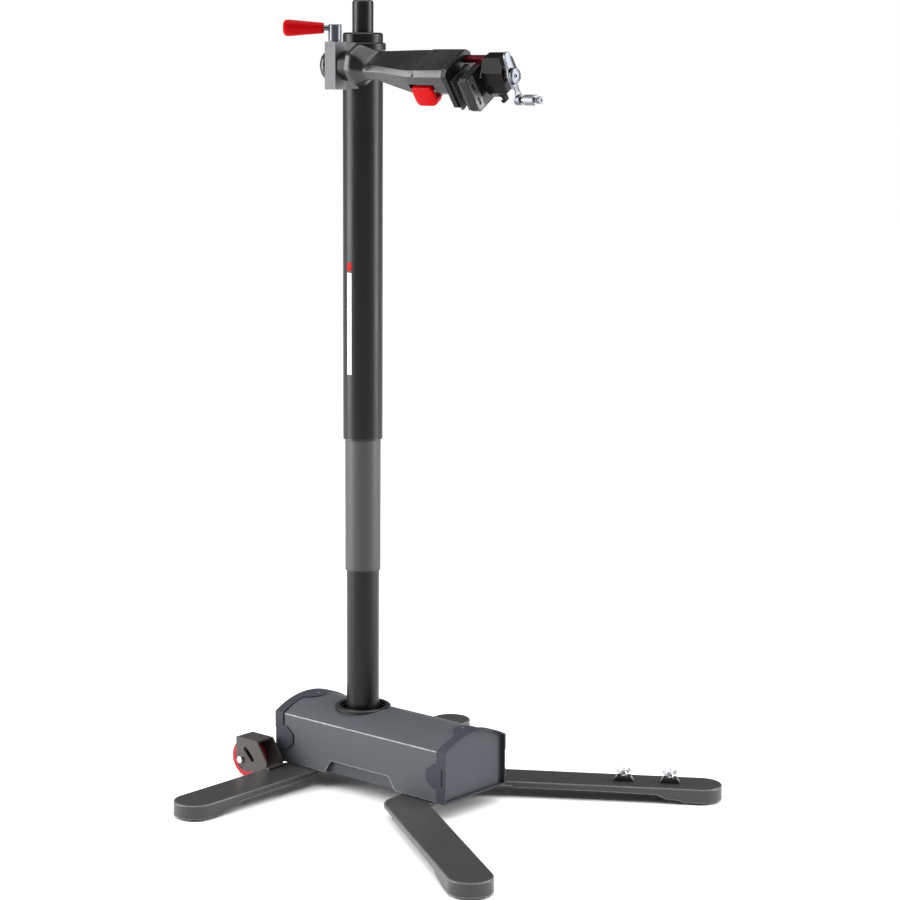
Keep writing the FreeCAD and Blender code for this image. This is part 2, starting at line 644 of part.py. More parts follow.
# ---- wheels ------------------------------------------------------------------------------------------------

def slanted_slot(name, start, depth):
    """A round-ended slot that slopes down towards the mast."""
    upper, lower, radius = (("wheel_x + 12", 61), ("wheel_x + 30", 43), 5)
    across = radius / math.sqrt(2)
    ends = [rod("%s_end_%d" % (name, number), radius, depth, (x, start, z), "y")
            for number, (x, z) in enumerate((upper, lower))]
    corners = [("%s + %.4f" % (x, side * across), z + side * across)
               for (x, z), side in ((upper, -1), (lower, -1), (lower, 1), (upper, 1))]
    return fuse(name, slab(name + "_middle", "XZ_Plane", corners, "-(%s) - (%s)" % (start, depth), depth),
                *ends)


def bracket(side, sign):
    """A folded plate fork: two cheeks under a top web, and a foot welded to the fixed leg."""
    cheek = (("wheel_x - nose_r", "fork_top"), ("fork_right", "fork_top"), (-121, 43), (-121, "leg_top"),
             (-131, "leg_top"), (-131, 14), ("wheel_x", "wheel_z - nose_r"), ("wheel_x - nose_r", "wheel_z"))
    pieces = []
    for number, (low, high) in enumerate((("-fork_half", "fork_wall - fork_half"),
                                          ("fork_half - fork_wall", "fork_half"))):
        middle = "%d * wheel_y" % sign
        pieces.append(slab("fork_cheek_%s_%d" % (side, number), "XZ_Plane", cheek,
                           "-(%s) - (%s)" % (middle, high),
                           "fork_wall"))
        pieces.append(rod("fork_nose_%s_%d" % (side, number), "nose_r", "fork_wall",
                          ("wheel_x", "%s + %s" % (middle, low), "wheel_z"), "y"))
    low = "%d * wheel_y - fork_half" % sign
    span = (low, low + " + 2 * fork_half")
    webs = (block("fork_top_web_" + side, ("wheel_x - nose_r", "fork_right"), span,
                  ("fork_top - fork_wall", "fork_top")),
            block("fork_foot_web_" + side, (-129, -114), span, ("leg_top", "leg_top + fork_wall")))
    outside = low + " - 1" if sign < 0 else "wheel_y + fork_half - fork_wall - 1"
    slot = slanted_slot("fork_slot_" + side, outside, "fork_wall + 2")
    axle_hole = rod("fork_axle_hole_" + side, 4.05, 80, ("wheel_x", low + " - 10", "wheel_z"), "y")
    return move(cut("fork_" + side, fuse("fork_blank_" + side, *webs, *pieces), slot, axle_hole), "mast_x")


def make_wheels():
    forks, axles = [], []
    for side, sign in (("front", -1), ("back", 1)):
        forks.append(bracket(side, sign))
        middle = ("mast_x + wheel_x", "%d * wheel_y" % sign, "wheel_z")
        crown = [("wheel_r - 9.5 * %.4f" % (1 - math.cos(math.radians(turn))) if turn else "wheel_r",
                  "wheel_half * %.4f" % math.sin(math.radians(turn))) for turn in range(-75, 76, 15)]
        keep(turned(side + "_tyre_body", [(27.5, "-wheel_half * 0.98")] + crown + [(27.5, "wheel_half * 0.98")],
                    middle, "y"), side + "_wheel_tyre")
        keep(turned(side + "_hub_body", (
            (6.05, -13), (13, -13), (15, -8), (24, -8), (27.5, -11), (27.5, 11), (24, 8), (15, 8), (13, 13),
            (6.05, 13)),
            middle, "y"), side + "_wheel_hub")
        outer = "fork_half"
        axle = turned("axle_turned_" + side, (
            (0, "-" + outer), (4, "-" + outer), (4, "-fork_half + fork_wall"), (6, "-fork_half + fork_wall"),
            (6, "fork_half - fork_wall"), (4, "fork_half - fork_wall"), (4, outer), (0, outer)), middle, "y")
        head_y = "%d * wheel_y - fork_half - 5.5" % sign
        nut_y = "%d * wheel_y + fork_half" % sign
        head = hexagon("axle_head_" + side, 13, 5.5, (middle[0], head_y, middle[2]), "y")
        nut = hexagon("axle_nut_" + side, 13, 6.5, (middle[0], nut_y, middle[2]), "y")
        axles.append(fuse("axle_" + side, axle, head, nut))
    keep(group("fork_pair", *forks), "wheel_brackets")
    keep(group("axle_pair", *axles), "wheel_axles")


# ---- accessory posts on the rear right leg -----------------------------------------------------------------

ACCESSORY_RUNS = (265, 354)


def make_accessory_posts():
    """Two trapezoid blocks with an upright stud each, and a wing nut on each stud."""
    elbow = ("elbow_x", "elbow_y")
    tip = ("tip_x", "tip_y")
    heading = math.degrees(math.atan2(size_of("tip_y") - size_of("elbow_y"),
                                      size_of("tip_x") - size_of("elbow_x")))
    blocks, studs = [], []
    for number, run in enumerate(ACCESSORY_RUNS):
        spot = toward(elbow, tip, run)
        place = ("mast_x + " + spot[0], spot[1], "leg_top")
        wedge = slab("post_block_form_%d" % number, "XZ_Plane",
                     ((-20, 0), (20, 0), (13, 10.5), (-13, 10.5)), -8, 16)
        drilled = cut("post_block_%d" % number, wedge, rod("post_block_hole_%d" % number, 3.02, 40, (0, 0, -5)))
        drilled.Placement = Placement(Vector(), Rotation(Vector(0, 0, 1), heading))
        blocks.append(move(drilled, *place))
        studs.append(turned("post_stud_%d" % number, ((0, 0), (3, 0), (3, 25), (2.4, 26), (0, 26)), place))
        barrel = turned("wing_barrel_%d" % number, ((3.06, 10.8), (7, 10.8), (7, 13.5), (5.5, 19), (3.06, 19)))
        wings = slab("wing_plate_%d" % number, "XZ_Plane", (
            (-5, 12.5), (-12, 15.5), (-15, 20.5), (-13.5, 23.5), (-10, 23), (-5, 17.5), (5, 17.5), (10, 23),
            (13.5, 23.5), (15, 20.5), (12, 15.5), (5, 12.5)), -1.4, 2.8)
        nut = cut("wing_nut_%d" % number, fuse("wing_nut_blank_%d" % number, barrel, wings),
                  rod("wing_nut_bore_%d" % number, 3.06, 30, (0, 0, 0)))
        nut.Placement = Placement(Vector(), Rotation(Vector(0, 0, 1), heading + 25))
        keep(move(nut, *place), ("inner", "outer")[number] + "_wing_nut")
    keep(group("post_blocks", *blocks), "accessory_blocks")
    keep(group("post_studs", *studs), "accessory_studs")


# ---- clamp mount on the mast -------------------------------------------------------------------------------

def make_bracket_block():
    """The block on the collar's saddle: it carries the spindle and holds a split cotter that locks it."""
    blank = block("block_blank", ("block_x0", "block_x1"), ("block_front", "block_back"),
                  ("block_foot", "block_top"))
    bore = rod("block_bore", "spindle_r + 0.05", 60, ("block_x0 - 10", "spindle_y", "spindle_z"), "x")
    cotter_bore = rod("block_cotter_bore", "cotter_r + 0.02", 120, ("lever_x", "cotter_y", "block_foot - 10"))
    shaped = cut("block_shaped", blank, bore, cotter_bore)
    keep(move(shaped, "mast_x"), "bracket_block")
    halves = []
    for number, (low, high) in enumerate((("block_foot + 4", "spindle_z - 5"),
                                          ("spindle_z + 5", "block_top - 4"))):
        half = rod("cotter_half_%d" % number, "cotter_r", "(%s) - (%s)" % (high, low),
                   ("lever_x", "cotter_y", low))
        bite = rod("cotter_bite_%d" % number, "spindle_r + 0.06", 60,
                   ("lever_x - 30", "spindle_y", "spindle_z"), "x")
        hole = rod("cotter_hole_%d" % number, 4.06, 120, ("lever_x", "cotter_y", "block_foot - 10"))
        halves.append(cut("cotter_%d" % number, half, bite, hole))
    keep(move(group("cotter_pair", *halves), "mast_x"), "clamp_cotters")


def make_lever():
    """The clamp lever: an upright hub on the clamp screw, a level stud and a tapered grip."""
    stud_lift, stud_length, grip_reach = 25, 46, 21
    screw = turned("lever_screw_turned", (
        (0, "block_foot + 1 - block_top"), (4, "block_foot + 1 - block_top"), (4, 0.4), (11, 0.4), (12.25, 1.6),
        (12.25, 31), (11.2, 32), (0, 32)))
    heading = math.radians(size_of("lever_heading"))
    level_turn = Rotation(Vector(0, 0, 1), Vector(math.cos(heading), math.sin(heading), 0))
    stud = rod("lever_stud", 5, stud_length, (0, 0, 0))
    stud.Placement = Placement(Vector(), level_turn)
    move(stud, 0, 0, stud_lift)
    hub = move(fuse("lever_hub_body", screw, stud), "mast_x + lever_x", "cotter_y", "block_top")
    keep(hub, "lever_hub")
    grip = turned("lever_grip_body", (
        (5.06, 0), (9, 0), (10, 1.2), (10.6, 8), (12.2, 28), (14.4, 52), (15.4, 64), (15.2, 69), (13.6, 73),
        (10, 75),
        (0, 75.4), (0, 26), (5.06, 26)))
    grip.Placement = Placement(Vector(), level_turn)
    keep(move(grip, "mast_x + lever_x + %.4f" % (grip_reach * math.cos(heading)),
              "cotter_y + %.4f" % (grip_reach * math.sin(heading)), "block_top + %s" % stud_lift), "lever_grip")


# ---- the rolling head, in its own frame --------------------------------------------------------------------

ARM_SECTIONS = (
    # distance along the spindle, then corners anticlockwise from the lower near one
    ("arm_start", ((-16, -37), (16, -37), (37, -16), (37, 16), (16, 37), (-16, 37), (-37, 16), (-37, -16))),
    (72, ((-18, -29), (16, -29), (32, -16), (33, 14), (17, 33), (-15, 33), (-34, 14), (-33, -18))),
    (90, ((-22, -17), (20, -17), (30, -10), (31, 8), (25, 16), (-15, 16), (-31, 8), (-28, -11))),
    (126, ((-24, -21), (22, -21), (31, -13), (33, 8), (26, 16), (-21, 16), (-33, 8), (-30, -14))),
    (168, ((-29, -31), (25, -31), (33, -22), (35, 8), (28, 16), (-30, 16), (-40, 8), (-36, -23))),
    (210, ((-36, -37), (27, -37), (35, -28), (37, 8), (29, 16), (-35, 16), (-46, 8), (-43, -28))),
    ("arm_end", ((-36, -37), (27, -37), (35, -28), (37, 8), (29, 16), (-34, 16), (-46, 8), (-43, -28))),
)


def arm_form(name, inset):
    """The arm's body through eight-sided sections, each moved inwards by inset."""
    sections = []
    for number, (x, corners) in enumerate(ARM_SECTIONS):
        sketch = doc.addObject("Sketcher::SketchObject", "%s_section_%d" % (name, number))
        sketch.Placement = Placement(Vector(), Rotation(Vector(1, 1, 1), 120))
        moved = []
        for y, z in corners:
            moved.append(("%s %s %s" % (y, "+" if y < 0 else "-", inset),
                          "%s %s %s" % (z, "+" if z < 0 else "-", inset)))
        draw_polygon(sketch, moved)
        sections.append(move(sketch, x))
    loft = doc.addObject("Part::Loft", name)
    loft.Sections = sections
    loft.Solid = True
    loft.Ruled = True
    return loft


def make_arm():
    on_head(turned("spindle_hub_body", (
        (0, -22), ("spindle_r", -22), ("spindle_r", "block_x1 + 0.3"), (20, "block_x1 + 0.3"),
        (20, "block_x1 + 1.5"),
        ("hub_r - 2", "block_x1 + 1.5"), ("hub_r", "block_x1 + 3.5"), ("hub_r", 46), (36, "arm_start - 2"),
        (36, "arm_start"), (24, "arm_start"), (24, 72), (0, 72)),
        along="x"), "spindle_hub")
    on_head(turned("spindle_cap_body", (
        (0, -26), (14, -25.4), (23, -23), (29, -18.5), (31, -13), (31, -8.5), (29.5, -6.8),
        ("spindle_r + 0.05", -6.8),
        ("spindle_r + 0.05", -22), (0, -22)), along="x"), "spindle_end_cap")
    hollow = cut("arm_hollow", arm_form("arm_outside", 0), arm_form("arm_inside", "arm_wall"))
    upper_half = block("arm_upper_half", (30, 300), (-60, 60), ("seam_z", 60))
    lower_half = block("arm_lower_half", (30, 300), (-60, 60), (-60, "seam_z"))
    on_head(common("arm_upper", hollow, upper_half), "arm_upper_shell")
    window = block("trigger_window", (204, 282), (-60, -9), (-70, -9))
    ear = block("trigger_ear", (254, "arm_end - 0.5"), (-9, -4), (-34.5, -13))
    lower = fuse("arm_lower_blank", cut("arm_lower_cut", common("arm_lower", hollow, lower_half), window), ear)
    pin_hole = rod("trigger_pin_hole", 2.5, 60, (262, -50, -23), "y")
    on_head(cut("arm_lower_drilled", lower, pin_hole), "arm_lower_shell")
    on_head(rod("trigger_pin_body", 2.5, 41, (262, -45, -23), "y"), "trigger_pin")


def pad_section(base, edge, middle):
    """The plan section of a jaw pad: flat back, and a face hollowed across its width."""
    low, high, steps = -40, 17, 8
    face = []
    for step in range(steps + 1):
        share = 2 * step / steps - 1
        face.append(("%s + (%s - (%s)) * %.5f" % (middle, edge, middle, share * share),
                     low + (high - low) * step / steps))
    return [(base, low)] + face + [(base, high)]


def make_fixed_jaw():
    plate = slab("fixed_jaw_plate", "YZ_Plane", (
        (-46, 8), (-34, 17), (29, 17), (36, 8), (34, -48), (20, -67), (-32, -67), (-45, -58)),
        "jaw_x0", "jaw_x1 - jaw_x0")
    passage = block("fixed_jaw_passage", (280, 310), ("slide_y0 - slide_gap", "slide_y1 + slide_gap"),
                    ("slide_z0 - slide_gap", "slide_z1 + slide_gap"))
    on_head(cut("fixed_jaw_body", plate, passage), "fixed_jaw")
    on_head(slab("fixed_pad_body", "XY_Plane", pad_section("jaw_x1", "jaw_x1 + 6", "jaw_x1 + 2"), -66, 60),
            "fixed_jaw_pad")


def make_trigger():
    """The release trigger: a cover outside the arm, a body inside it and a pawl arm beyond the pin."""
    cover = slab("trigger_cover", "XZ_Plane", (
        (208, -15), (264, -15), (268, -22), (268, -40), (262, -50), (252, -56), (216, -56), (208, -50)),
        40, 8.5)
    soft = round_edges("trigger_cover_soft", cover, 2.5, lambda edge: edge.BoundBox.YMax < -48)
    inner = slab("trigger_inner", "XZ_Plane", (
        (211, -22), (256, -22), (262, -17), (273, -17), (278, -29), (273, -37), (262, -50), (252, -56),
        (216, -56),
        (211, -50)), 12, 28)
    pawl = block("trigger_pawl", (271, 277), (-12, -9.4), (-30, -20))
    bore = rod("trigger_bore", 2.56, 60, (262, -50, -23), "y")
    on_head(cut("trigger_body", fuse("trigger_blank", soft, inner, pawl), bore), "trigger")


def make_slide():
    teeth = []
    for number in range(22):
        x = 150 + 6 * number
        teeth += [(x, "slide_z0"), (x, "slide_z0 + 1.4"), (x + 4.5, "slide_z0")]
    profile = [("slide_x0", "slide_z0")] + teeth
    profile += [("carriage_x1 - 4", "slide_z0"), ("carriage_x1 - 4", "slide_z1"), ("slide_x0", "slide_z1")]
    on_head(slab("slide_bar_body", "XZ_Plane", profile, "-slide_y1", "slide_y1 - slide_y0"), "slide_bar")


GUIDE_PIN_HEIGHTS = (-12, -46)


def make_carriage():
    """The moving jaw's body on the slide bar, bored for the nut and two guide pins, with a hook below."""
    blank = slab("carriage_blank", "YZ_Plane",
                 ((30, 10), (8, 12), (-11, -7), (-16, -30), (-14, -48), (-4, -62), (30, -62)),
                 "carriage_x0", "carriage_x1 - carriage_x0")
    hook = slab("carriage_hook", "XZ_Plane", (
        (366, -40), (378, -40), (385, -58), (384, -67), (377, -71), (372, -68), (373, -65), (378, -64),
        (378, -60),
        (372, -54), (366, -50)), 2, 9)
    passage = block("carriage_passage", ("carriage_x0 - 1", "carriage_x1 - 4"), ("slide_y0", "slide_y1"),
                    ("slide_z0", "slide_z1"))
    under = slab("carriage_under", "XZ_Plane", ((372, -62), (402, -62), (402, -44)), -60, 120)
    over = slab("carriage_over", "XZ_Plane", ((388, 13), (402, 13), (402, -2)), -60, 120)
    nut_bore = rod("carriage_nut_bore", 9, 60, ("carriage_x0 - 5", "screw_y", "screw_z"), "x")
    pins = [rod("carriage_pin_bore_%d" % number, 3.06, 45, ("carriage_x0 - 1", "guide_pin_y", z), "x")
            for number, z in enumerate(GUIDE_PIN_HEIGHTS)]
    shaped = cut("carriage_shaped", blank, under, over)
    on_head(cut("carriage_body", fuse("carriage_hooked", shaped, hook), passage, nut_bore, *pins),
            "jaw_carriage")
    on_head(ring("clamp_nut_body", 9, "screw_r + 0.06", 40, ("carriage_x0", "screw_y", "screw_z"), "x"),
            "clamp_nut")


def make_holder():
    """The pad holder that the lead screw pushes, with its two guide pins, pad and slotted inset."""
    plate = slab("holder_plate", "YZ_Plane", (
        (-41, -5), (-37, -2.2), (15, -2.2), (19, -6), (19, -66), (12, -72), (-36, -72), (-41, -67)),
        "holder_x0", "holder_x1 - holder_x0")
    pins = [rod("holder_pin_%d" % number, 3, 46, ("holder_x1 - 1", "guide_pin_y", z), "x")
            for number, z in enumerate(GUIDE_PIN_HEIGHTS)]
    seat = rod("holder_seat", "screw_r + 0.06", 20, ("holder_x1 - 10", "screw_y", "screw_z"), "x")
    on_head(cut("holder_body", fuse("holder_blank", plate, *pins), seat), "pad_holder")
    on_head(slab("moving_pad_body", "XY_Plane",
                 pad_section("holder_x0", "holder_x0 - 6", "holder_x0 - 2"), -67, 60),
            "moving_jaw_pad")
    inset = slab("inset_plate", "YZ_Plane", ((-39, -5), (-21, -5), (-21, -69), (-34, -69), (-39, -65)),
                 "holder_x1", 1.6)
    slots = []
    for number, z in enumerate((-23, -53)):
        slots.append(block("inset_slot_%d" % number, ("holder_x1 - 1", "holder_x1 + 3"), (-33, -27),
                           (z - 7.5, z + 7.5)))
    on_head(cut("inset_body", inset, *slots), "holder_inset")


CRANK_OUTLINE = (
    # across and up from the lead screw, with the knob straight below it
    (-7, 38), (-4, 27), (3, 15), (10, 6), (12, -4), (8, -16), (5.5, -27), (8.5, -34), (9.5, -42), (5, -50),
    (-5, -50),
    (-9.5, -42), (-8, -34), (-5, -27), (-8, -15), (-12, -4), (-13, 6), (-15, 18), (-19, 30), (-19, 38),
    (-13, 43),
)


def make_crank():
    """The lead screw, and the crank arm with its hub cap, knob boss and knob pin."""
    on_head(turned("lead_screw_body", (
        (0, 0), ("screw_r", 0), ("screw_r", "crank_x - holder_x1 + 5.5"), (8.5, "crank_x - holder_x1 + 5.5"),
        (8.5, "crank_x - holder_x1 + 9"), ("screw_r", "crank_x - holder_x1 + 9"),
        ("screw_r", "crank_x - holder_x1 + 13.9"), (0, "crank_x - holder_x1 + 13.9")),
        ("holder_x1 - 9", "screw_y", "screw_z"), "x"), "lead_screw")
    hang = math.radians(size_of("crank_hang"))
    outline = []
    for across, up in CRANK_OUTLINE:
        outline.append(("screw_y + %.4f" % (across * math.cos(hang) + up * math.sin(hang)),
                        "screw_z + %.4f" % (up * math.cos(hang) - across * math.sin(hang))))
    plate = slab("crank_plate", "YZ_Plane", outline, "crank_x", 5)
    knob_y = "screw_y - crank_radius * %.5f" % math.sin(hang)
    knob_z = "screw_z - crank_radius * %.5f" % math.cos(hang)
    boss = rod("crank_boss", 9.5, 13, ("crank_x - 1", knob_y, knob_z), "x")
    cap = turned("crank_cap", ((2.5, 4), (8, 4), (8, 8), (13, 8), (14.5, 9.4), (14.5, 12), (13, 13.4),
                               (2.5, 13.4)),
                 ("crank_x", "screw_y", "screw_z"), "x")
    pin = rod("crank_knob_pin", 4, 46, ("crank_x", knob_y, knob_z), "x")
    seat = rod("crank_seat", "screw_r", 33, ("crank_x - 20", "screw_y", "screw_z"), "x")
    on_head(cut("crank_body", fuse("crank_blank", plate, boss, cap, pin), seat), "crank_arm")
    on_head(turned("crank_knob_body", (
        (4.06, 14), (6, 14), (6, 17.5), (7.6, 17.5), (9.6, 20), (9.6, 41), (8.2, 43.5), (6.8, 44), (6.8, 48),
        (5.8, 49),
        (4.06, 49)), ("crank_x", knob_y, knob_z), "x"), "crank_knob")


make_mast()
make_gas_spring()
make_housing()
make_channel()
right_plate = make_end_cap("right_end_cap", "box_x1", 0)
left_plate = make_end_cap("left_end_cap", "box_x0", 180)
keep(group("end_plate_pair", right_plate, left_plate), "end_plates")
make_cap_screws()
make_mast_foot()

make_legs()
make_leg_fasteners()
make_wheels()
make_accessory_posts()
make_bracket_block()
make_lever()
make_arm()
make_fixed_jaw()
make_trigger()
make_slide()
make_carriage()
make_holder()
make_crank()

doc.recompute()
os.makedirs("parts", exist_ok=True)
for thing in doc.Objects:
    broken = {"Invalid", "Error"} & set(thing.State)
    if broken:
        raise RuntimeError("%s failed: %s" % (thing.Name, sorted(broken)))
for thing in subparts:
    if thing.Shape.isNull() or not thing.Shape.isValid():
        raise RuntimeError(thing.Label + " has no valid shape")
    thing.Shape.exportStep("parts/%s.step" % thing.Label)
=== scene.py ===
"""The looks of a bike repair stand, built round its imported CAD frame."""

import json
import math

import bmesh
import bpy
from mathutils import Matrix, Vector


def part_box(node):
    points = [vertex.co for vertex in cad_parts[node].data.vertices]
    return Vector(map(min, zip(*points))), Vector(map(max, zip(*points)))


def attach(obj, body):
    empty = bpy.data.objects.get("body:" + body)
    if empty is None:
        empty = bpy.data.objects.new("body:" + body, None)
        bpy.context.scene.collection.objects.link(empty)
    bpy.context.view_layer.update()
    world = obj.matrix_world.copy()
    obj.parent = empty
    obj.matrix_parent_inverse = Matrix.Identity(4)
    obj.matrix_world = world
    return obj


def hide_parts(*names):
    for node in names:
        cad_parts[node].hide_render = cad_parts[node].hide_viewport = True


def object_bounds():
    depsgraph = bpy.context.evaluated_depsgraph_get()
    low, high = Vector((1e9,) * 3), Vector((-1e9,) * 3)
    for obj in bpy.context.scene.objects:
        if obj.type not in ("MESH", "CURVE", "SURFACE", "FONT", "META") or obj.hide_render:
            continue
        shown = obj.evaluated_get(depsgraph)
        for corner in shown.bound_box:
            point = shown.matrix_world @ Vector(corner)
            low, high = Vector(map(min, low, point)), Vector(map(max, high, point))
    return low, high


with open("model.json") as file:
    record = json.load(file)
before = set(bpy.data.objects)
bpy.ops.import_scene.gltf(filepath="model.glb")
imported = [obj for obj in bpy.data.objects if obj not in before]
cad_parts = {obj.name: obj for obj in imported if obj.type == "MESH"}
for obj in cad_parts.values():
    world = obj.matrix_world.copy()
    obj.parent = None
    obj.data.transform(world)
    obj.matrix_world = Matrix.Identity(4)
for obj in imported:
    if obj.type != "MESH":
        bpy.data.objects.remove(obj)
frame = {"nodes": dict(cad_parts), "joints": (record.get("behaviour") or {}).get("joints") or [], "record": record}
CAD_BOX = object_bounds()
NODES = frame["nodes"]
JOINTS = {joint["name"]: joint for joint in frame["joints"]}
MM = 0.001


# ---- materials -----------------------------------------------------------------------------------

BEVEL_SAMPLES = 3
GRAIN_ROUGHNESS = 0.55
# grain that breaks up the painted edge highlight and wear
EDGE_HIGHLIGHT_WEAR_GRAIN = 260.0
# the edges' painted highlight and wear begin, and are full, where the cosine between the rounded normal and the
# true one falls to these
EDGE_HIGHLIGHT_WEAR_START = 0.985
EDGE_HIGHLIGHT_WEAR_FULL = 0.9
COAT_ROUGHNESS = 0.1
FINE_BUMP_DISTANCE = 0.0002
BROAD_BUMP_DISTANCE = 0.0006
# the colour mix node's factor, first colour and second colour among its inputs, and the colour it gives
MIX_FACTOR, MIX_FIRST, MIX_SECOND, MIX_RESULT = 0, 6, 7, 2


def linked(tree, kind, **inputs):
    """A new node with some of its inputs set: to a value, or to another node's output."""
    node = tree.nodes.new(kind)
    for name, value in inputs.items():
        socket = node.inputs[name.replace("_", " ")]
        if isinstance(value, bpy.types.NodeSocket):
            tree.links.new(value, socket)
        else:
            socket.default_value = value
    return node


def grain(tree, scale, detail=3.0, stretch=(1, 1, 1)):
    """Noise in the object's own space, drawn out along the axes where stretch is small."""
    place = tree.nodes.new("ShaderNodeTexCoord")
    mapping = linked(tree, "ShaderNodeMapping", Vector=place.outputs["Object"])
    mapping.inputs["Scale"].default_value = stretch
    pattern = linked(tree, "ShaderNodeTexNoise", Vector=mapping.outputs[0], Scale=scale, Detail=detail)
    pattern.inputs["Roughness"].default_value = GRAIN_ROUGHNESS
    return pattern.outputs["Fac"]


def ramp(tree, source, stops):
    """A colour ramp over a source value. Each stop is (position, grey or colour)."""
    node = linked(tree, "ShaderNodeValToRGB", Fac=source)
    elements = node.color_ramp.elements
    while len(elements) < len(stops):
        elements.new(0.5)
    for element, (position, colour) in zip(elements, stops):
        element.position = position
        element.color = (*colour, 1) if isinstance(colour, tuple) else (colour, colour, colour, 1)
    return node.outputs["Color"]


def mixed(tree, factor, first, second, way="MIX"):
    """Two colours mixed by a factor."""
    node = tree.nodes.new("ShaderNodeMix")
    node.data_type = "RGBA"
    node.blend_type = way
    for place, value in ((MIX_FACTOR, factor), (MIX_FIRST, first), (MIX_SECOND, second)):
        socket = node.inputs[place]
        if isinstance(value, bpy.types.NodeSocket):
            tree.links.new(value, socket)
        elif isinstance(value, tuple):
            socket.default_value = (*value, 1)
        else:
            socket.default_value = value
    return node.outputs[MIX_RESULT]


def shifted(colour, factor):
    """A colour made lighter or darker by a factor."""
    return tuple(min(1.0, part * factor) for part in colour)


def edge_mask(tree, radius):
    """White on a piece's edges, for a painted highlight and a little wear: where a rounded normal leaves the true
    one.
    """
    soft = linked(tree, "ShaderNodeBevel", Radius=radius)
    soft.samples = BEVEL_SAMPLES
    true = tree.nodes.new("ShaderNodeNewGeometry")
    facing = tree.nodes.new("ShaderNodeVectorMath")
    facing.operation = "DOT_PRODUCT"
    tree.links.new(soft.outputs[0], facing.inputs[0])
    tree.links.new(true.outputs["Normal"], facing.inputs[1])
    spread = linked(tree, "ShaderNodeMapRange", Value=facing.outputs["Value"])
    for name, value in (("From Min", EDGE_HIGHLIGHT_WEAR_START), ("From Max", EDGE_HIGHLIGHT_WEAR_FULL), ("To Min", 0.0), ("To Max", 1.0)):
        spread.inputs[name].default_value = value
    return spread.outputs[0]


def surface(name, colour, rough, metallic=0.0, fine=900.0, fine_bump=0.05, broad=14.0, broad_bump=0.0,
            vary=0.08, rough_vary=0.06, stretch=(1, 1, 1), edge=None, edge_radius=0.0008, edge_share=0.5,
            coat=0.0, specular=0.5):
    """A procedural finish: fine grain, slow changes in colour and gloss, and soft edges with a painted highlight
    and a little wear.
    """
    material = bpy.data.materials.new(name)
    material.use_nodes = True
    tree = material.node_tree
    shader = tree.nodes["Principled BSDF"]
    shader.inputs["Metallic"].default_value = metallic
    shader.inputs["Coat Weight"].default_value = coat
    shader.inputs["Coat Roughness"].default_value = COAT_ROUGHNESS
    shader.inputs["Specular IOR Level"].default_value = specular
    slow = grain(tree, broad, 4.0, stretch)
    quick = grain(tree, fine, 2.0, stretch)
    tone = mixed(tree, slow, shifted(colour, 1 - vary), shifted(colour, 1 + vary))
    speck = ramp(tree, quick, ((0.35, 1 - vary), (0.65, 1 + vary)))
    tone = mixed(tree, 1.0, tone, speck, "MULTIPLY")
    # the edge colour is a painted highlight along the edges, with a little wear, broken up by grain
    if edge:
        highlight_and_wear_mask = edge_mask(tree, edge_radius)
        broken = ramp(tree, grain(tree, EDGE_HIGHLIGHT_WEAR_GRAIN, 3.0), ((0.3, 0.25), (0.62, 1.0)))
        share = mixed(tree, 1.0, highlight_and_wear_mask, broken, "MULTIPLY")
        share = mixed(tree, 1.0, share, (edge_share,) * 3, "MULTIPLY")
        tone = mixed(tree, share, tone, edge)
    tree.links.new(tone, shader.inputs["Base Color"])
    gloss = ramp(tree, slow, ((0.3, max(0.02, rough - rough_vary)), (0.7, min(1.0, rough + rough_vary))))
    tree.links.new(gloss, shader.inputs["Roughness"])
    rounded = linked(tree, "ShaderNodeBevel", Radius=edge_radius)
    rounded.samples = BEVEL_SAMPLES
    bump = linked(tree, "ShaderNodeBump", Height=quick, Strength=fine_bump, Distance=FINE_BUMP_DISTANCE,
                  Normal=rounded.outputs[0])
    last = bump
    if broad_bump:
        last = linked(tree, "ShaderNodeBump", Height=slow, Strength=broad_bump,
                      Distance=BROAD_BUMP_DISTANCE, Normal=bump.outputs[0])
    tree.links.new(last.outputs[0], shader.inputs["Normal"])
    return material


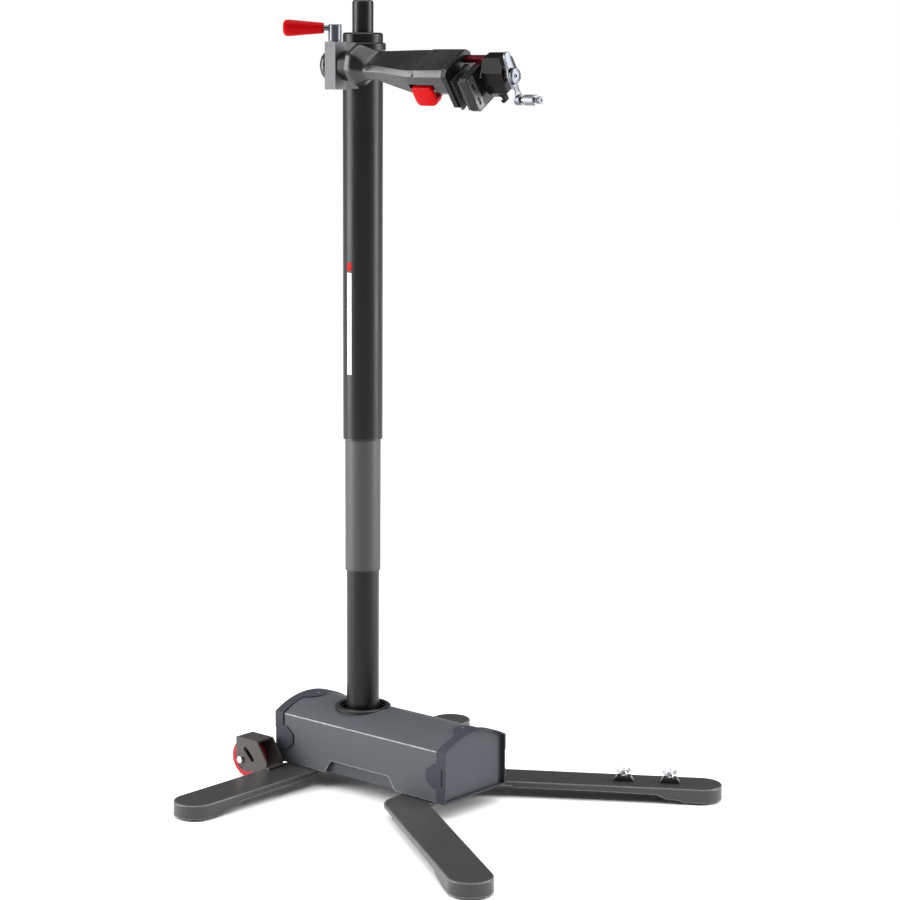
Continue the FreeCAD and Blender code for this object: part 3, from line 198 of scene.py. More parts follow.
def finishes():
    """A finish for each material slot, and four more for nodes and marks that differ from their slot."""
    made = {}

    def add(name, *args, **kwargs):
        made[name] = surface("mat_" + name, *args, **kwargs)

    # each edge colour below is a painted highlight along the piece's edges, with a little wear
    # the mast, the base, the legs and the wheels
    add("tube_black", (0.0055, 0.0055, 0.006), 0.33, fine=1500, fine_bump=0.22, broad=9, vary=0.07,
        edge=(0.10, 0.10, 0.10), edge_radius=0.0009, specular=0.24)
    add("tube_grey", (0.062, 0.061, 0.060), 0.45, metallic=0.3, specular=0.25, fine=1500, fine_bump=0.12,
        broad=8, vary=0.05, stretch=(1, 1, 0.08), edge=(0.25, 0.25, 0.25))
    # the housing's light edge colour, at full share, is a painted highlight along its kink line
    add("housing_grey", (0.062, 0.069, 0.076), 0.48, metallic=0.2, fine=1300, fine_bump=0.18, broad=6,
        vary=0.05, edge=(0.75, 0.77, 0.79), edge_radius=0.0036, edge_share=1.0, specular=0.3)
    add("channel_dark", (0.032, 0.036, 0.044), 0.5, fine=900, fine_bump=0.2, broad=10, vary=0.08,
        edge=(0.15, 0.15, 0.16))
    add("cap_plastic", (0.026, 0.030, 0.038), 0.5, fine=2200, fine_bump=0.35, broad=12, vary=0.06,
        edge=(0.13, 0.14, 0.16), edge_radius=0.0012, specular=0.25)
    add("plate_plastic", (0.050, 0.055, 0.063), 0.55, specular=0.25, fine=2200, fine_bump=0.3, broad=7,
        vary=0.06, edge=(0.16, 0.17, 0.19))
    # the legs' light edge colour is a painted highlight on their rims
    add("leg_coat", (0.029, 0.028, 0.027), 0.33, specular=0.45, fine=1700, fine_bump=0.4, broad=8,
        vary=0.07, edge=(0.62, 0.62, 0.62), edge_radius=0.003, edge_share=0.8)
    add("rubber_black", (0.016, 0.016, 0.016), 0.62, fine=1200, fine_bump=0.35, broad=18, vary=0.12,
        broad_bump=0.1, specular=0.35)
    add("zinc", (0.17, 0.173, 0.182), 0.34, metallic=1.0, fine=700, fine_bump=0.1, broad=60, vary=0.08,
        rough_vary=0.08)
    add("bracket_grey", (0.058, 0.054, 0.050), 0.42, metallic=0.3, specular=0.3, fine=1100, fine_bump=0.2,
        broad=12, vary=0.08, edge=(0.35, 0.34, 0.33), edge_radius=0.001)
    add("wheel_red", (0.36, 0.006, 0.012), 0.28, fine=900, fine_bump=0.12, broad=30, vary=0.08, coat=0.12,
        specular=0.3)
    add("hub_plastic", (0.022, 0.022, 0.024), 0.45, fine=1400, fine_bump=0.25, broad=25, vary=0.08)
    # the clamp head
    # the block's light edge colour is a painted highlight on its bevelled edges
    add("block_alu", (0.062, 0.064, 0.067), 0.5, metallic=0.3, fine=500, fine_bump=0.25, broad=120,
        vary=0.06, stretch=(1, 1, 14), rough_vary=0.08, edge=(0.75, 0.76, 0.78), edge_radius=0.0009)
    add("chrome", (0.105, 0.112, 0.124), 0.32, metallic=1.0, fine=500, fine_bump=0.05, broad=50, vary=0.04,
        rough_vary=0.04)
    add("red_plastic", (0.36, 0.002, 0.003), 0.24, fine=700, fine_bump=0.06, broad=25, vary=0.05,
        specular=0.035)
    # the arm's light edge colour is a painted highlight on its seam and panel edges
    add("arm_black", (0.0085, 0.0085, 0.009), 0.25, specular=0.42, fine=1900, fine_bump=0.3, broad=12,
        vary=0.07, edge=(0.5, 0.5, 0.5), edge_radius=0.0009, edge_share=0.55)
    add("red_anodised", (0.16, 0.003, 0.016), 0.3, metallic=0.9, fine=700, fine_bump=0.1, broad=40,
        vary=0.08, stretch=(0.2, 1, 1))
    add("inset_grey", (0.075, 0.075, 0.078), 0.38, metallic=0.3, fine=900, fine_bump=0.25, broad=50,
        vary=0.08, edge=(0.7, 0.7, 0.7))
    add("brass", (0.66, 0.50, 0.22), 0.3, metallic=1.0, fine=600, fine_bump=0.1, broad=60, vary=0.08)
    add("bush_nylon", (0.014, 0.014, 0.015), 0.3, fine=1400, fine_bump=0.12, broad=20, vary=0.08,
        edge=(0.1, 0.1, 0.1), specular=0.3)
    add("steel_dark", (0.10, 0.10, 0.11), 0.35, metallic=0.9, fine=700, fine_bump=0.15, broad=40, vary=0.1)
    # nodes that differ from their slot, and the bar on the mast
    add("jaw_black", (0.007, 0.007, 0.0075), 0.3, fine=1900, fine_bump=0.3, broad=12, vary=0.07,
        edge=(0.3, 0.3, 0.3), edge_radius=0.0009, edge_share=0.5, specular=0.14)
    add("zinc_bright", (0.55, 0.56, 0.58), 0.26, metallic=1.0, fine=700, fine_bump=0.1, broad=60, vary=0.08,
        rough_vary=0.08)
    # the carriage's edge colour is a painted highlight that shows its facets
    add("carriage_gloss", (0.004, 0.004, 0.0045), 0.2, fine=1900, fine_bump=0.2, broad=12, vary=0.07,
        edge=(0.25, 0.25, 0.25), edge_radius=0.0009, edge_share=0.5, specular=0.05)
    add("mark_white", (0.78, 0.78, 0.78), 0.4, fine=900, fine_bump=0.05, broad=20, vary=0.04)
    return made


MATERIALS = finishes()
# the slot that the record gives each node, and the nodes whose finish isn't their slot's own
SLOT_OF = {part["node"]: part["material_slot"] for part in frame["record"]["subparts"]}
FINISH_OF = {"fixed_jaw": "jaw_black", "jaw_carriage": "carriage_gloss", "pad_holder": "jaw_black",
             "spindle_hub": "jaw_black", "inner_wing_nut": "zinc_bright", "outer_wing_nut": "zinc_bright",
             "accessory_studs": "zinc_bright", "wheel_axles": "zinc_bright"}
for node_name, cad in NODES.items():
    cad.data.materials.clear()
    cad.data.materials.append(MATERIALS[FINISH_OF.get(node_name, SLOT_OF[node_name])])


# ---- building pieces -----------------------------------------------------------------------------

def head_frame():
    """The clamp head's frame, in millimetres: x along the spindle, y and z turned with the head at rest."""
    spin, pull = JOINTS["head_spin"], JOINTS["trigger_pull"]
    along = Vector(spin["axis"]).normalized()
    across = Vector(pull["axis"]).normalized()
    up = along.cross(across)
    turn = Matrix((along, across, up)).transposed().to_4x4()
    return Matrix.Translation(Vector(spin["pos_m"])) @ turn @ Matrix.Scale(MM, 4)


HEAD = head_frame()
# points closer than this, in metres, become one
MERGE_DISTANCE = 1e-6
# a rounded corner takes at most this share of each edge beside it
FILLET_SHARE = 0.45
# a lathe's points on its axis are kept this far off it, in millimetres, so that every ring has its full count
AXIS_GAP = 1e-4


def finish_piece(name, build, body, slot, replaces=(), sharp=35, matrix=None, finish=None):
    """Turns a bmesh into a piece that rides on a body, with its slot's finish or the finish named."""
    if matrix is not None:
        build.transform(matrix)
    bmesh.ops.remove_doubles(build, verts=build.verts, dist=MERGE_DISTANCE)
    bmesh.ops.recalc_face_normals(build, faces=build.faces)
    mesh = bpy.data.meshes.new(name)
    build.to_mesh(mesh)
    build.free()
    for polygon in mesh.polygons:
        polygon.use_smooth = True
    mesh.set_sharp_from_angle(angle=math.radians(sharp))
    mesh.materials.append(MATERIALS[finish or slot])
    piece = bpy.data.objects.new(name, mesh)
    bpy.context.scene.collection.objects.link(piece)
    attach(piece, body)
    if replaces:
        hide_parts(*replaces)


def loft(build, rings, capped=True):
    """Skins closed rings of points, which all have the same count."""
    rows = [[build.verts.new(point) for point in ring] for ring in rings]
    count = len(rows[0])
    for first, second in zip(rows, rows[1:]):
        for here in range(count):
            after = (here + 1) % count
            build.faces.new((first[here], first[after], second[after], second[here]))
    if capped:
        build.faces.new(rows[0][::-1])
        build.faces.new(rows[-1])


def filleted(corners, radius, steps=3, closed=False):
    """A flat outline with each corner rounded off."""
    points = []
    count = len(corners)
    for number, corner in enumerate(corners):
        if not closed and number in (0, count - 1):
            points.append(Vector(corner))
            continue
        here = Vector(corner)
        back, ahead = Vector(corners[number - 1]) - here, Vector(corners[(number + 1) % count]) - here
        reach = min(radius, back.length * FILLET_SHARE, ahead.length * FILLET_SHARE)
        start, finish = here + back.normalized() * reach, here + ahead.normalized() * reach
        for step in range(steps + 1):
            share = step / steps
            points.append(start * (1 - share) ** 2 + here * 2 * share * (1 - share) + finish * share ** 2)
    return points


def inset(points, depth, closed=False):
    """A flat outline moved to its left by depth."""
    moved = []
    count = len(points)
    for number, point in enumerate(points):
        before = points[number - 1] if closed or number else point
        after = points[(number + 1) % count] if closed or number < count - 1 else point
        along = (after - before).normalized()
        moved.append(point + Vector((-along.y, along.x)) * depth)
    return moved


def eased_value(first, second, slope1, slope2, share):
    """A cubic's value at a share of the way between two ends, from its values and slopes there."""
    return ((2 * share ** 3 - 3 * share ** 2 + 1) * first + (share ** 3 - 2 * share ** 2 + share) * slope1
            + (3 * share ** 2 - 2 * share ** 3) * second + (share ** 3 - share ** 2) * slope2)


def smooth_keys(keys, places):
    """Corner lists given at a few places, eased through more places by Catmull-Rom curves."""
    out = []
    for place in places:
        spot = max(n for n in range(len(keys) - 1) if keys[n][0] <= place + 1e-9)
        (x1, first), (x2, second) = keys[spot], keys[spot + 1]
        x0, before = keys[max(spot - 1, 0)]
        x3, after = keys[min(spot + 2, len(keys) - 1)]
        share = (place - x1) / (x2 - x1)
        corners = []
        for a, b, c, d in zip(before, first, second, after):
            pair = []
            for axis in (0, 1):
                slope1 = (c[axis] - a[axis]) / (x2 - x0) * (x2 - x1)
                slope2 = (d[axis] - b[axis]) / (x3 - x1) * (x2 - x1)
                pair.append(eased_value(b[axis], c[axis], slope1, slope2, share))
            corners.append(tuple(pair))
        out.append((place, corners))
    return out


def lathe(build, profile, centre, axis="x", count=64, capped=True):
    """Spins a (radius, distance) profile round a line through centre, along x or y."""
    rings = []
    for radius, along in profile:
        ring = []
        for step in range(count):
            turn = 2 * math.pi * step / count
            across, up = max(radius, AXIS_GAP) * math.cos(turn), max(radius, AXIS_GAP) * math.sin(turn)
            point = (along, across, up) if axis == "x" else (across, along, up)
            ring.append(Vector(point) + Vector(centre))
        rings.append(ring)
    loft(build, rings, capped)


# ---- the clamp head ------------------------------------------------------------------------------

# Lengths in this section are in millimetres, in the head's frame.
# the seam's height between the two shells, half of its gap, and how near to it a corner may lie
SEAM = -10.0
SEAM_GAP = 0.35
SEAM_REACH = 0.3
SEAM_ROOM = 1
WALL = 2.8
# corners are rounded more between the spindle and this place than beyond it, each in this many steps
ROOT_END = 95
ROOT_FILLET = 7.0
ARM_FILLET = 2.2
ARM_STEPS = 4
# the jaw end stands proud from here, by this much, after a short rise
PANEL_START = 222.0
PANEL_RISE = 1.5
PANEL_PROUD = 0.9
# corners nearer than this to the spindle's height keep their height in the proud part
PROUD_FROM = 12
ARM_KEYS = (
    # distance along the spindle, then (across, up) corners from the lower near one round by the far side
    (52.0, ((-16, -37), (16, -37), (37, -16), (37, 16), (16, 37), (-16, 37), (-37, 16), (-37, -14))),
    (64.0, ((-17, -35), (16, -35), (35, -16), (36, 15), (17, 37), (-15, 36), (-37, 15), (-36, -17))),
    (76.0, ((-19, -27), (17, -27), (32, -15), (33, 12), (19, 29), (-14, 27), (-34, 11), (-31, -15))),
    (90.0, ((-22, -16), (20, -16), (30, -10.6), (31, 8), (25, 17), (-14, 17), (-31, 8), (-28, -10.6))),
    (108.0, ((-22, -18), (21, -18), (30, -11), (32, 8), (26, 16), (-17, 16), (-31.5, 8), (-28.5, -11))),
    (126.0, ((-24, -21), (22, -21), (31, -13), (33, 8), (26, 16), (-21, 16), (-33, 8), (-30, -14))),
    (168.0, ((-29, -31), (25, -31), (33, -22), (35, 8), (28, 16), (-30, 16), (-40, 8), (-36, -23))),
    (210.0, ((-36, -37), (27, -37), (35, -28), (37, 8), (29, 16), (-35, 16), (-46, 8), (-43, -28))),
    (291.0, ((-36, -37), (27, -37), (35, -28), (37, 8), (29, 16), (-34, 16), (-46, 8), (-43, -28))),
)
ARM_PLACES = ([52 + 2 * n for n in range(30)] + [112 + 8 * n for n in range(14)]
              + [222, 223.5, 232, 250, 270, 284, 291])
# the lower shell's near side is open between these places, for the trigger
GAP_START = 204
GAP_PLACES = (204.01, 212, 230, 250, 264)
GAP_EDGE = -8.6
END_PLACES = (264.01, 272, 280, 286, 291)


def crossing(first, second, height):
    """The point at a height on the line between two (y, z) points."""
    share = (height - first[1]) / (second[1] - first[1])
    return (first[0] + (second[0] - first[0]) * share, height)


def arm_half(corners, upper, grow=0.0):
    """One shell's open section from the near seam round to the far one."""
    low_near, low_far, far_low, far_band, far_top, near_top, near_band, near_low = corners
    if upper:
        level = SEAM + SEAM_GAP
        near = crossing(near_low, near_band, level) if near_low[1] < SEAM + SEAM_REACH else near_low
        far = crossing(far_low, far_band, level) if far_low[1] < SEAM + SEAM_REACH else far_low
        line = [near, near_band, near_top, far_top, far_band, far]
    else:
        level = SEAM - SEAM_GAP
        near, far = crossing(near_low, near_band, level), crossing(far_low, far_band, level)
        line = [far, (far_low[0], min(far_low[1], SEAM - SEAM_ROOM)), low_far, low_near,
                (near_low[0], min(near_low[1], SEAM - SEAM_ROOM)), near]
    return [(y + math.copysign(grow, y), z + (math.copysign(grow, z) if abs(z) > PROUD_FROM else 0))
            for y, z in line]


def walled(place, outer):
    """A shell's closed section, from its outer line and the wall's thickness."""
    inner = inset(outer, -WALL)
    return [Vector((place, point.x, point.y)) for point in outer + inner[::-1]]


def arm_section(place, corners, upper, grow):
    """One shell's section at a place along the arm, grown outwards a little."""
    radius = ARM_FILLET if place > ROOT_END else ROOT_FILLET
    line = [Vector(point) for point in arm_half(corners, upper, grow)]
    return walled(place, filleted(line, radius, ARM_STEPS))


def panel_step(place):
    """The jaw end of the arm stands a little proud of the rest."""
    return PANEL_PROUD * min(1.0, max(0.0, (place - PANEL_START) / PANEL_RISE))


def make_arm():
    """The arm's two shells. The lower one is open on its near side where the trigger sits."""
    sections = smooth_keys(ARM_KEYS, ARM_PLACES)
    build = bmesh.new()
    loft(build, [arm_section(x, corners, True, panel_step(x)) for x, corners in sections])
    finish_piece("arm_shell_upper", build, "head", "arm_black", ("arm_upper_shell",), sharp=30, matrix=HEAD)
    build = bmesh.new()
    whole = [(x, corners) for x, corners in sections if x < GAP_START] + smooth_keys(ARM_KEYS, [GAP_START])
    loft(build, [arm_section(x, corners, False, 0.0) for x, corners in whole])
    rings = []
    for x, corners in smooth_keys(ARM_KEYS, GAP_PLACES):
        low_near, low_far, far_low, far_band = corners[:4]
        far = crossing(far_low, far_band, SEAM - SEAM_GAP)
        line = (far, far_low, low_far, (GAP_EDGE, low_near[1]))
        rings.append(walled(x, filleted([Vector(point) for point in line], ARM_FILLET, ARM_STEPS)))
    loft(build, rings)
    loft(build, [arm_section(x, corners, False, 0.0) for x, corners in smooth_keys(ARM_KEYS, END_PLACES)])
    finish_piece("arm_shell_lower", build, "head", "arm_black", ("arm_lower_shell",), sharp=30, matrix=HEAD)


# The cover's and the stem's outlines are (along, up), and the layers are (depth inwards, across).
TRIGGER_OUTLINE = ((208, -15), (256, -15), (260, -22), (260, -42), (250, -55), (214, -55), (208, -48))
TRIGGER_STEM = ((213, -22), (256, -20), (276, -19), (276, -30), (258, -42), (250, -50), (216, -50))
COVER_FILLET = 7.0
COVER_STEPS = 5
STEM_FILLET = 3.0
RIB_FILLET = 0.9
TRIGGER_LAYERS = ((1.2, -29.5), (0.0, -31.0), (0.0, -44.5), (0.6, -46.8), (1.8, -48.2), (3.4, -48.8))
STEM_REACH = (-30.0, -12.0)
GRIP_PANEL = ((-44.5, -40), (-32.5, -40), (-32.5, -24), (-44.5, -24))
GRIP_PANEL_REACH = (252, 260.5)
RIB_COUNT = 4
RIB_LOWEST = -39.2
RIB_PITCH = 4.1
RIB_HEIGHT = 2.0
RIB_ACROSS = (-43.8, -33.2)
RIB_LAYERS = ((0.0, 259.6), (0.0, 261.0), (0.4, 261.4))


def upright(outline, depth, across):
    """An (along, up) outline as a ring at a place across, drawn in by depth."""
    return [Vector((point.x, across, point.y)) for point in inset(outline, depth, closed=True)]


def make_trigger():
    """The release trigger: a soft-cornered cover on a stem, with ribs on a dark panel at its outer end."""
    cover = filleted([Vector(corner) for corner in TRIGGER_OUTLINE], COVER_FILLET, COVER_STEPS, closed=True)
    if area(cover) < 0:
        cover.reverse()
    build = bmesh.new()
    loft(build, [upright(cover, depth, y) for depth, y in TRIGGER_LAYERS])
    stem = filleted([Vector(corner) for corner in TRIGGER_STEM], STEM_FILLET, closed=True)
    loft(build, [upright(stem, 0.0, y) for y in STEM_REACH])
    finish_piece("trigger_cover", build, "release_trigger", "red_plastic", ("trigger",), sharp=40,
                 matrix=HEAD)
    build = bmesh.new()
    loft(build, [[Vector((x, y, z)) for y, z in GRIP_PANEL] for x in GRIP_PANEL_REACH])
    finish_piece("trigger_grip_panel", build, "release_trigger", "rubber_black", matrix=HEAD,
                 finish="jaw_black")
    build = bmesh.new()
    near, far = RIB_ACROSS
    for number in range(RIB_COUNT):
        low = RIB_LOWEST + RIB_PITCH * number
        high = low + RIB_HEIGHT
        rib = [Vector(corner) for corner in ((near, low), (far, low), (far, high), (near, high))]
        rounded = filleted(rib, RIB_FILLET, closed=True)
        loft(build, [[Vector((x, point.x, point.y)) for point in inset(rounded, depth, closed=True)]
                     for depth, x in RIB_LAYERS])
    finish_piece("trigger_grip_ribs", build, "release_trigger", "red_plastic", matrix=HEAD)


def crank_place():
    """The lead screw's axis and the knob's axis, in the head's frame."""
    back = HEAD.inverted()
    return back @ Vector(JOINTS["crank_turn"]["pos_m"]), back @ Vector(JOINTS["knob_spin"]["pos_m"])


# A profile is (radius, distance out along the screw).
CRANK_BAND = (
    # with the knob straight below the lead screw: up from the screw, middle across, half width, and
    # step out along the screw
    (43.6, -13, 2.0, -3), (42.6, -13, 4.6, -3), (40, -13, 6.6, -3), (36, -12.8, 7.8, -3),
    (30, -11.6, 8.2, -3), (22, -8.4, 8.6, -3), (14, -4.6, 9.6, -3), (6, -1.6, 11.6, -3),
    (-2, -0.3, 12.2, -3), (-9, 0, 10.6, -2.6), (-15, 0, 8.6, -1.0), (-21, 0, 7.2, 1.8),
    (-27, 0, 7.0, 4.8), (-32, 0, 8.2, 6.6), (-37, 0, 9.4, 7), (-42, 0, 9.6, 7), (-46, 0, 8.6, 7),
    (-49, 0, 6.2, 7), (-50.6, 0, 3.0, 7),
)
HUB_OUT = -5.0
KNOB_OUT = 7.0
HUB_CAP_PROFILE = (
    (0, 3), (8, 3), (8, 8), (12.4, 8), (14.2, 8.8), (14.5, 10.4), (13.8, 12.4), (12.2, 13.4), (9.6, 13.6),
    (9.2, 12.6), (4.4, 12.4), (4.0, 13.4), (2.4, 13.4), (2.2, 9.0), (0, 9.0),
)
KNOB_PIN_PROFILE = (
    (0, -1), (8.4, -1), (9.5, 0.2), (9.5, 10.4), (8.6, 11.8), (6.0, 12.2), (6.0, 13.0), (4.0, 13.4),
    (4.0, 50.6), (6.4, 50.6), (6.8, 51.2), (6.8, 53.4), (6.2, 54.0), (3.0, 54.0), (2.6, 52.4), (0, 52.4),
)
KNOB_PROFILE = (
    [(4.06, 14), (6, 14), (6, 17.5), (7.6, 17.5), (9.2, 19.2), (9.6, 20)]
    + [(9.6, 20.6 + 0.6 * n) for n in range(34)]
    + [(9.6, 41.2), (9.2, 42.2), (8.2, 43.5), (5.8, 43.8), (5.8, 48), (5.2, 48.8), (4.06, 49)]
)
# the knob's diamond knurl: where it runs, its ridges round the knob, their slope, and how they stand out
KNURL_REACH = (20.5, 40.5)
KNURL_RIDGES = 16
KNURL_SLOPE = 1.1
KNURL_HEIGHT = 0.42
KNURL_SINK = 0.2
KNOB_COUNT = 96
# the lever's thickness at its raised rim, at the sunk face inside it and at its shoulder, and its bevels
BAND_THICK = 5.2
BAND_FACE = 4.5
BAND_SHOULDER = 4.4
BAND_BEVEL = 0.8
RIM_BEVEL = 0.6
# the rim's width, and the largest share of the half width it takes
RIM_WIDTH = 1.6
RIM_SHARE = 0.4


def band_section(half, out):
    """A flat bar's section with a raised rim on its outer face: along the screw, then across."""
    rim = min(RIM_WIDTH, half * RIM_SHARE)
    top, face, side, low = (out + step for step in (BAND_THICK, BAND_FACE, BAND_SHOULDER, BAND_BEVEL))
    return ((out, -half + BAND_BEVEL), (out, half - BAND_BEVEL), (low, half), (side, half),
            (top, half - RIM_BEVEL), (top, half - rim), (face, half - rim - RIM_BEVEL),
            (face, -half + rim + RIM_BEVEL), (top, -half + rim), (top, -half + RIM_BEVEL), (side, -half),
            (low, -half))


def knurl(angle, along):
    """How far the knob's surface stands out at a place on it."""
    if not KNURL_REACH[0] < along < KNURL_REACH[1]:
        return 0.0
    wave = (math.cos(KNURL_RIDGES * angle + along * KNURL_SLOPE)
            + math.cos(KNURL_RIDGES * angle - along * KNURL_SLOPE))
    return KNURL_HEIGHT * max(0.0, wave * 0.5) - KNURL_SINK


def make_crank():
    """The crank's lever with its hub cap and knob pin, and the knurled knob that spins on the pin."""
    screw, knob = crank_place()
    hang = math.atan2(screw.y - knob.y, screw.z - knob.z)
    turn = Matrix(((math.cos(hang), math.sin(hang)), (-math.sin(hang), math.cos(hang))))
    rings = []
    for up, middle, half, out in CRANK_BAND:
        ring = []
        for step_out, across in band_section(half, out):
            place = turn @ Vector((middle + across, up))
            ring.append(Vector((screw.x + step_out, screw.y + place.x, screw.z + place.y)))
        rings.append(ring)
    build = bmesh.new()
    loft(build, rings)
    lathe(build, HUB_CAP_PROFILE, (screw.x + HUB_OUT, screw.y, screw.z))
    knob_start = screw.x + KNOB_OUT
    lathe(build, KNOB_PIN_PROFILE, (knob_start, knob.y, knob.z))
    finish_piece("crank_lever", build, "crank", "chrome", ("crank_arm",), sharp=32, matrix=HEAD)
    build = bmesh.new()
    rings = []
    for radius, along in KNOB_PROFILE:
        ring = []
        for step in range(KNOB_COUNT):
            angle = 2 * math.pi * step / KNOB_COUNT
            reach = radius + knurl(angle, along)
            ring.append(Vector((knob_start + along, knob.y + reach * math.cos(angle),
                                knob.z + reach * math.sin(angle))))
        rings.append(ring)
    loft(build, rings)
    finish_piece("crank_knurled_knob", build, "knob", "zinc", ("crank_knob",), sharp=40, matrix=HEAD)


def area(points):
    """A flat outline's area, negative where it runs clockwise."""
    return sum(a.x * b.y - b.x * a.y for a, b in zip(points, points[1:] + points[:1])) / 2


THREAD_PITCH = 3.0
THREAD_CREST = 5.0
THREAD_DEPTH = 0.75
THREAD_COUNT = 24
RINGS_PER_TURN = 8
# the thread starts and ends this far from the screw's ends, and a collar and journal follow it
SCREW_START = 1
SCREW_END = 14.5
SCREW_END_PROFILE = ((0, 0), (5, 0), (5, 5.5), (8.5, 5.5), (8.5, 9), (5, 9), (5, 14), (0, 14))


def make_thread():
    """The lead screw's rolled thread, from the holder to the collar at its outer end."""
    screw = crank_place()[0]
    low, high = (HEAD.inverted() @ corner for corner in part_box("lead_screw"))
    build = bmesh.new()
    start, finish = low.x + SCREW_START, high.x - SCREW_END
    rings = []
    steps = int((finish - start) / THREAD_PITCH * RINGS_PER_TURN)
    for number in range(steps + 1):
        along = start + (finish - start) * number / steps
        ring = []
        for step in range(THREAD_COUNT):
            angle = 2 * math.pi * step / THREAD_COUNT
            phase = ((along / THREAD_PITCH) - step / THREAD_COUNT) % 1.0
            reach = THREAD_CREST - THREAD_DEPTH * abs(2 * phase - 1)
            ring.append(Vector((along, screw.y + reach * math.cos(angle), screw.z + reach * math.sin(angle))))
        rings.append(ring)
    loft(build, rings)
    lathe(build, SCREW_END_PROFILE, (finish, screw.y, screw.z))
    finish_piece("lead_screw_thread", build, "crank", "zinc", ("lead_screw",), sharp=40, matrix=HEAD)


TYRE_PROFILE = (
    # radius, then distance along the axle: a flat tread with soft shoulders and a lip beside the hub
    (27.6, -11.4), (33.0, -11.6), (35.2, -11.8), (36.6, -11.2), (37.3, -9.8), (37.5, -8.0), (37.5, -0.5),
    (37.2, 0), (37.5, 0.5), (37.5, 8.0), (37.3, 9.8), (36.6, 11.2), (35.2, 11.8), (33.0, 11.6), (27.6, 11.4),
)
TYRE_COUNT = 96


def make_tyres():
    """Red tyres with a flat tread and a fine mould line round the middle."""
    for side in ("front", "back"):
        low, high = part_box(side + "_wheel_tyre")
        middle = (low + high) / 2 / MM
        build = bmesh.new()
        lathe(build, TYRE_PROFILE + TYRE_PROFILE[:1], middle, "y", TYRE_COUNT, capped=False)
        finish_piece(side + "_tyre_tread", build, side + "_wheel", "wheel_red", (side + "_wheel_tyre",),
                     sharp=40, matrix=Matrix.Scale(MM, 4))


make_arm()
make_trigger()
make_crank()
make_thread()
make_tyres()


# ---- stage ---------------------------------------------------------------------------------------

FLOOR_RADIUS = 60.0
MARK_STEPS = 8
# the marks' half width round the tube, in degrees, and their thickness in metres
MARK_SPREAD = 8.0
MARK_THICK = 0.00025
# name, slot, finish, bottom and top in millimetres
MARKS = (("mast_bar", "inset_grey", "mark_white", 811, 1006), ("mast_block", "red_plastic", None, 1010, 1026))
# the floor lies a little below the feet, so that the two never share a plane
FLOOR_DROP = 0.0004
FLOOR_COUNT = 96
FLOOR_GRAIN = 3.0
FLOOR_TONES = ((0.3, 0.93), (0.7, 0.95))
FLOOR_ROUGHNESS = 0.9
FLOOR_SHINE = 0.05
# how much of the white sky lights the stand, and how much of it the camera sees
SKY_LIGHT = 0.12
SKY_SEEN = 1.0
# each softbox: name, place, width, height and power
SOFTBOXES = (("side_left", (-2.6, -2.7, 1.7), 2.3, 3.6, 260), ("side_right", (2.7, 2.3, 1.7), 1.9, 3.6, 200))
SUN_STRENGTH = 3.15
SUN_SPREAD = 70
CAMERA_PLACE = (2.8449, -3.2809, 1.3949)
# in degrees: the heading, the tilt up from straight down, and the roll
CAMERA_TURNS = ((40.615, "Z"), (81.994, "X"), (0.295, "Z"))
SENSOR_WIDTH = 36
LENS = 93.61
LENS_SHIFT = -0.06


def make_mast_mark():
    """A plain light bar with a small red block on the front of the outer tube, with no lettering."""
    low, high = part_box("outer_tube")
    axis = (low + high) / 2
    radius = (high.x - low.x) / 2
    for name, slot, finish, bottom, top in MARKS:
        build = bmesh.new()
        rings = []
        for number in range(2 * MARK_STEPS + 2):
            outer = number <= MARK_STEPS
            step = number if outer else 2 * MARK_STEPS + 1 - number
            turn = math.radians(-90 - MARK_SPREAD + 2 * MARK_SPREAD * step / MARK_STEPS)
            reach = radius + (MARK_THICK if outer else 0.0)
            place = Vector((axis.x + reach * math.cos(turn), axis.y + reach * math.sin(turn), 0))
            rings.append([place + Vector((0, 0, up * MM)) for up in (bottom, top)])
        loft(build, [[ring[end] for ring in rings] for end in (0, 1)])
        finish_piece(name, build, "mast_top", slot, sharp=30, finish=finish)


def make_stage():
    """A pale round floor with no wall, so that the backdrop is the sky alone."""
    mesh = bpy.data.meshes.new("studio_floor")
    build = bmesh.new()
    bmesh.ops.create_circle(build, cap_ends=True, segments=FLOOR_COUNT, radius=FLOOR_RADIUS)
    bmesh.ops.translate(build, verts=build.verts, vec=(0, 0, -FLOOR_DROP))
    build.to_mesh(mesh)
    build.free()
    floor = bpy.data.objects.new("studio_floor", mesh)
    bpy.context.scene.collection.objects.link(floor)
    material = bpy.data.materials.new("mat_floor")
    material.use_nodes = True
    tree = material.node_tree
    shader = tree.nodes["Principled BSDF"]
    tone = ramp(tree, grain(tree, FLOOR_GRAIN, 2.0), FLOOR_TONES)
    tree.links.new(tone, shader.inputs["Base Color"])
    shader.inputs["Roughness"].default_value = FLOOR_ROUGHNESS
    shader.inputs["Specular IOR Level"].default_value = FLOOR_SHINE
    mesh.materials.append(material)


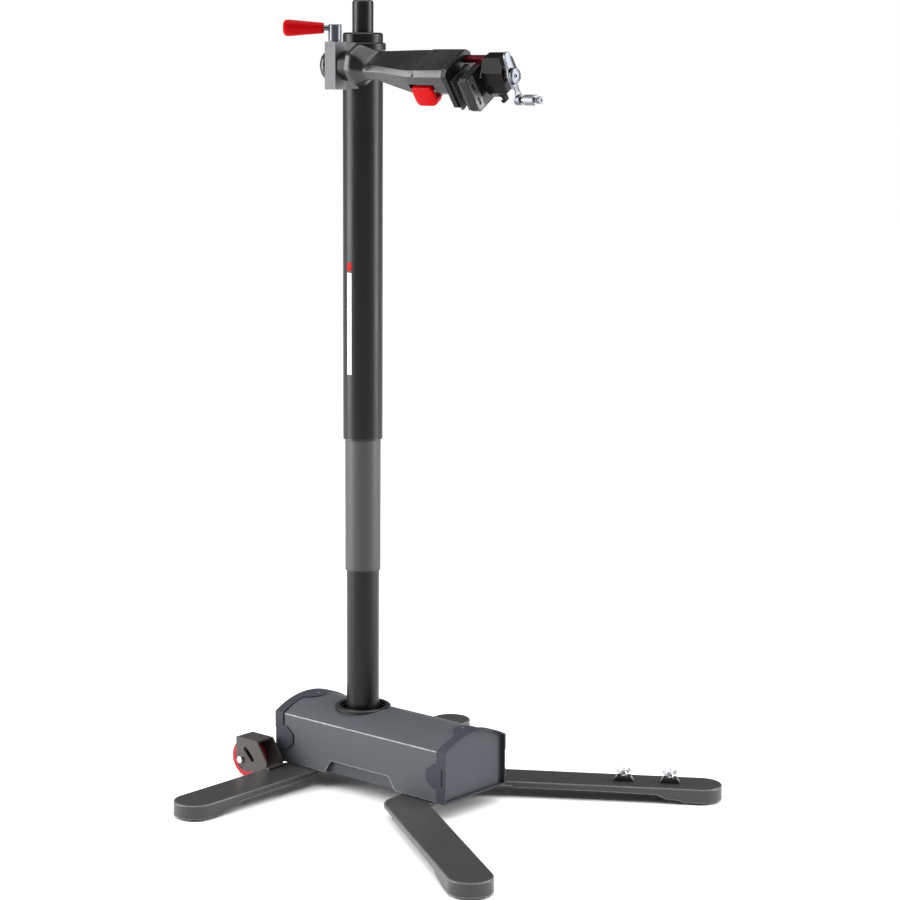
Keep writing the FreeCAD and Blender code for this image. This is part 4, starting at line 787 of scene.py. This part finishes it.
def softbox(name, place, aim, width, height, power):
    """A rectangular light that faces a point."""
    light = bpy.data.lights.new(name, "AREA")
    light.shape = "RECTANGLE"
    light.size = width
    light.size_y = height
    light.energy = power
    lamp = bpy.data.objects.new(name, light)
    lamp.location = place
    lamp.rotation_euler = (Vector(aim) - Vector(place)).to_track_quat("-Z", "Y").to_euler()
    bpy.context.scene.collection.objects.link(lamp)


def make_lights():
    """Two softboxes, a wide sun from straight above, and a white sky that gives little light itself."""
    middle = (CAD_BOX[0] + CAD_BOX[1]) / 2
    for name, place, width, height, power in SOFTBOXES:
        softbox(name, place, middle, width, height, power)
    sun = bpy.data.lights.new("overhead", "SUN")
    sun.energy = SUN_STRENGTH
    sun.angle = math.radians(SUN_SPREAD)
    overhead = bpy.data.objects.new("overhead", sun)
    bpy.context.scene.collection.objects.link(overhead)
    world = bpy.data.worlds.new("studio_world")
    world.use_nodes = True
    tree = world.node_tree
    backdrop = tree.nodes["Background"]
    backdrop.inputs["Color"].default_value = (1.0, 1.0, 1.0, 1)
    seen = tree.nodes.new("ShaderNodeLightPath")
    strength = linked(tree, "ShaderNodeMapRange", Value=seen.outputs["Is Camera Ray"])
    strength.inputs["To Min"].default_value = SKY_LIGHT
    strength.inputs["To Max"].default_value = SKY_SEEN
    tree.links.new(strength.outputs[0], backdrop.inputs["Strength"])
    bpy.context.scene.world = world


def make_camera():
    """A long lens, in front of the stand and to its right, tilted a little down."""
    data = bpy.data.cameras.new("camera")
    data.sensor_width = SENSOR_WIDTH
    data.lens = LENS
    data.shift_y = LENS_SHIFT
    camera = bpy.data.objects.new("camera", data)
    camera.location = CAMERA_PLACE
    camera.rotation_mode = "XYZ"
    first, second, third = (Matrix.Rotation(math.radians(angle), 4, axis) for angle, axis in CAMERA_TURNS)
    camera.rotation_euler = (first @ second @ third).to_euler()
    bpy.context.scene.collection.objects.link(camera)
    bpy.context.scene.camera = camera


make_mast_mark()
make_stage()
make_lights()
make_camera()
scene = bpy.context.scene
scene.view_settings.view_transform = "Standard"
scene.view_settings.look = "None"
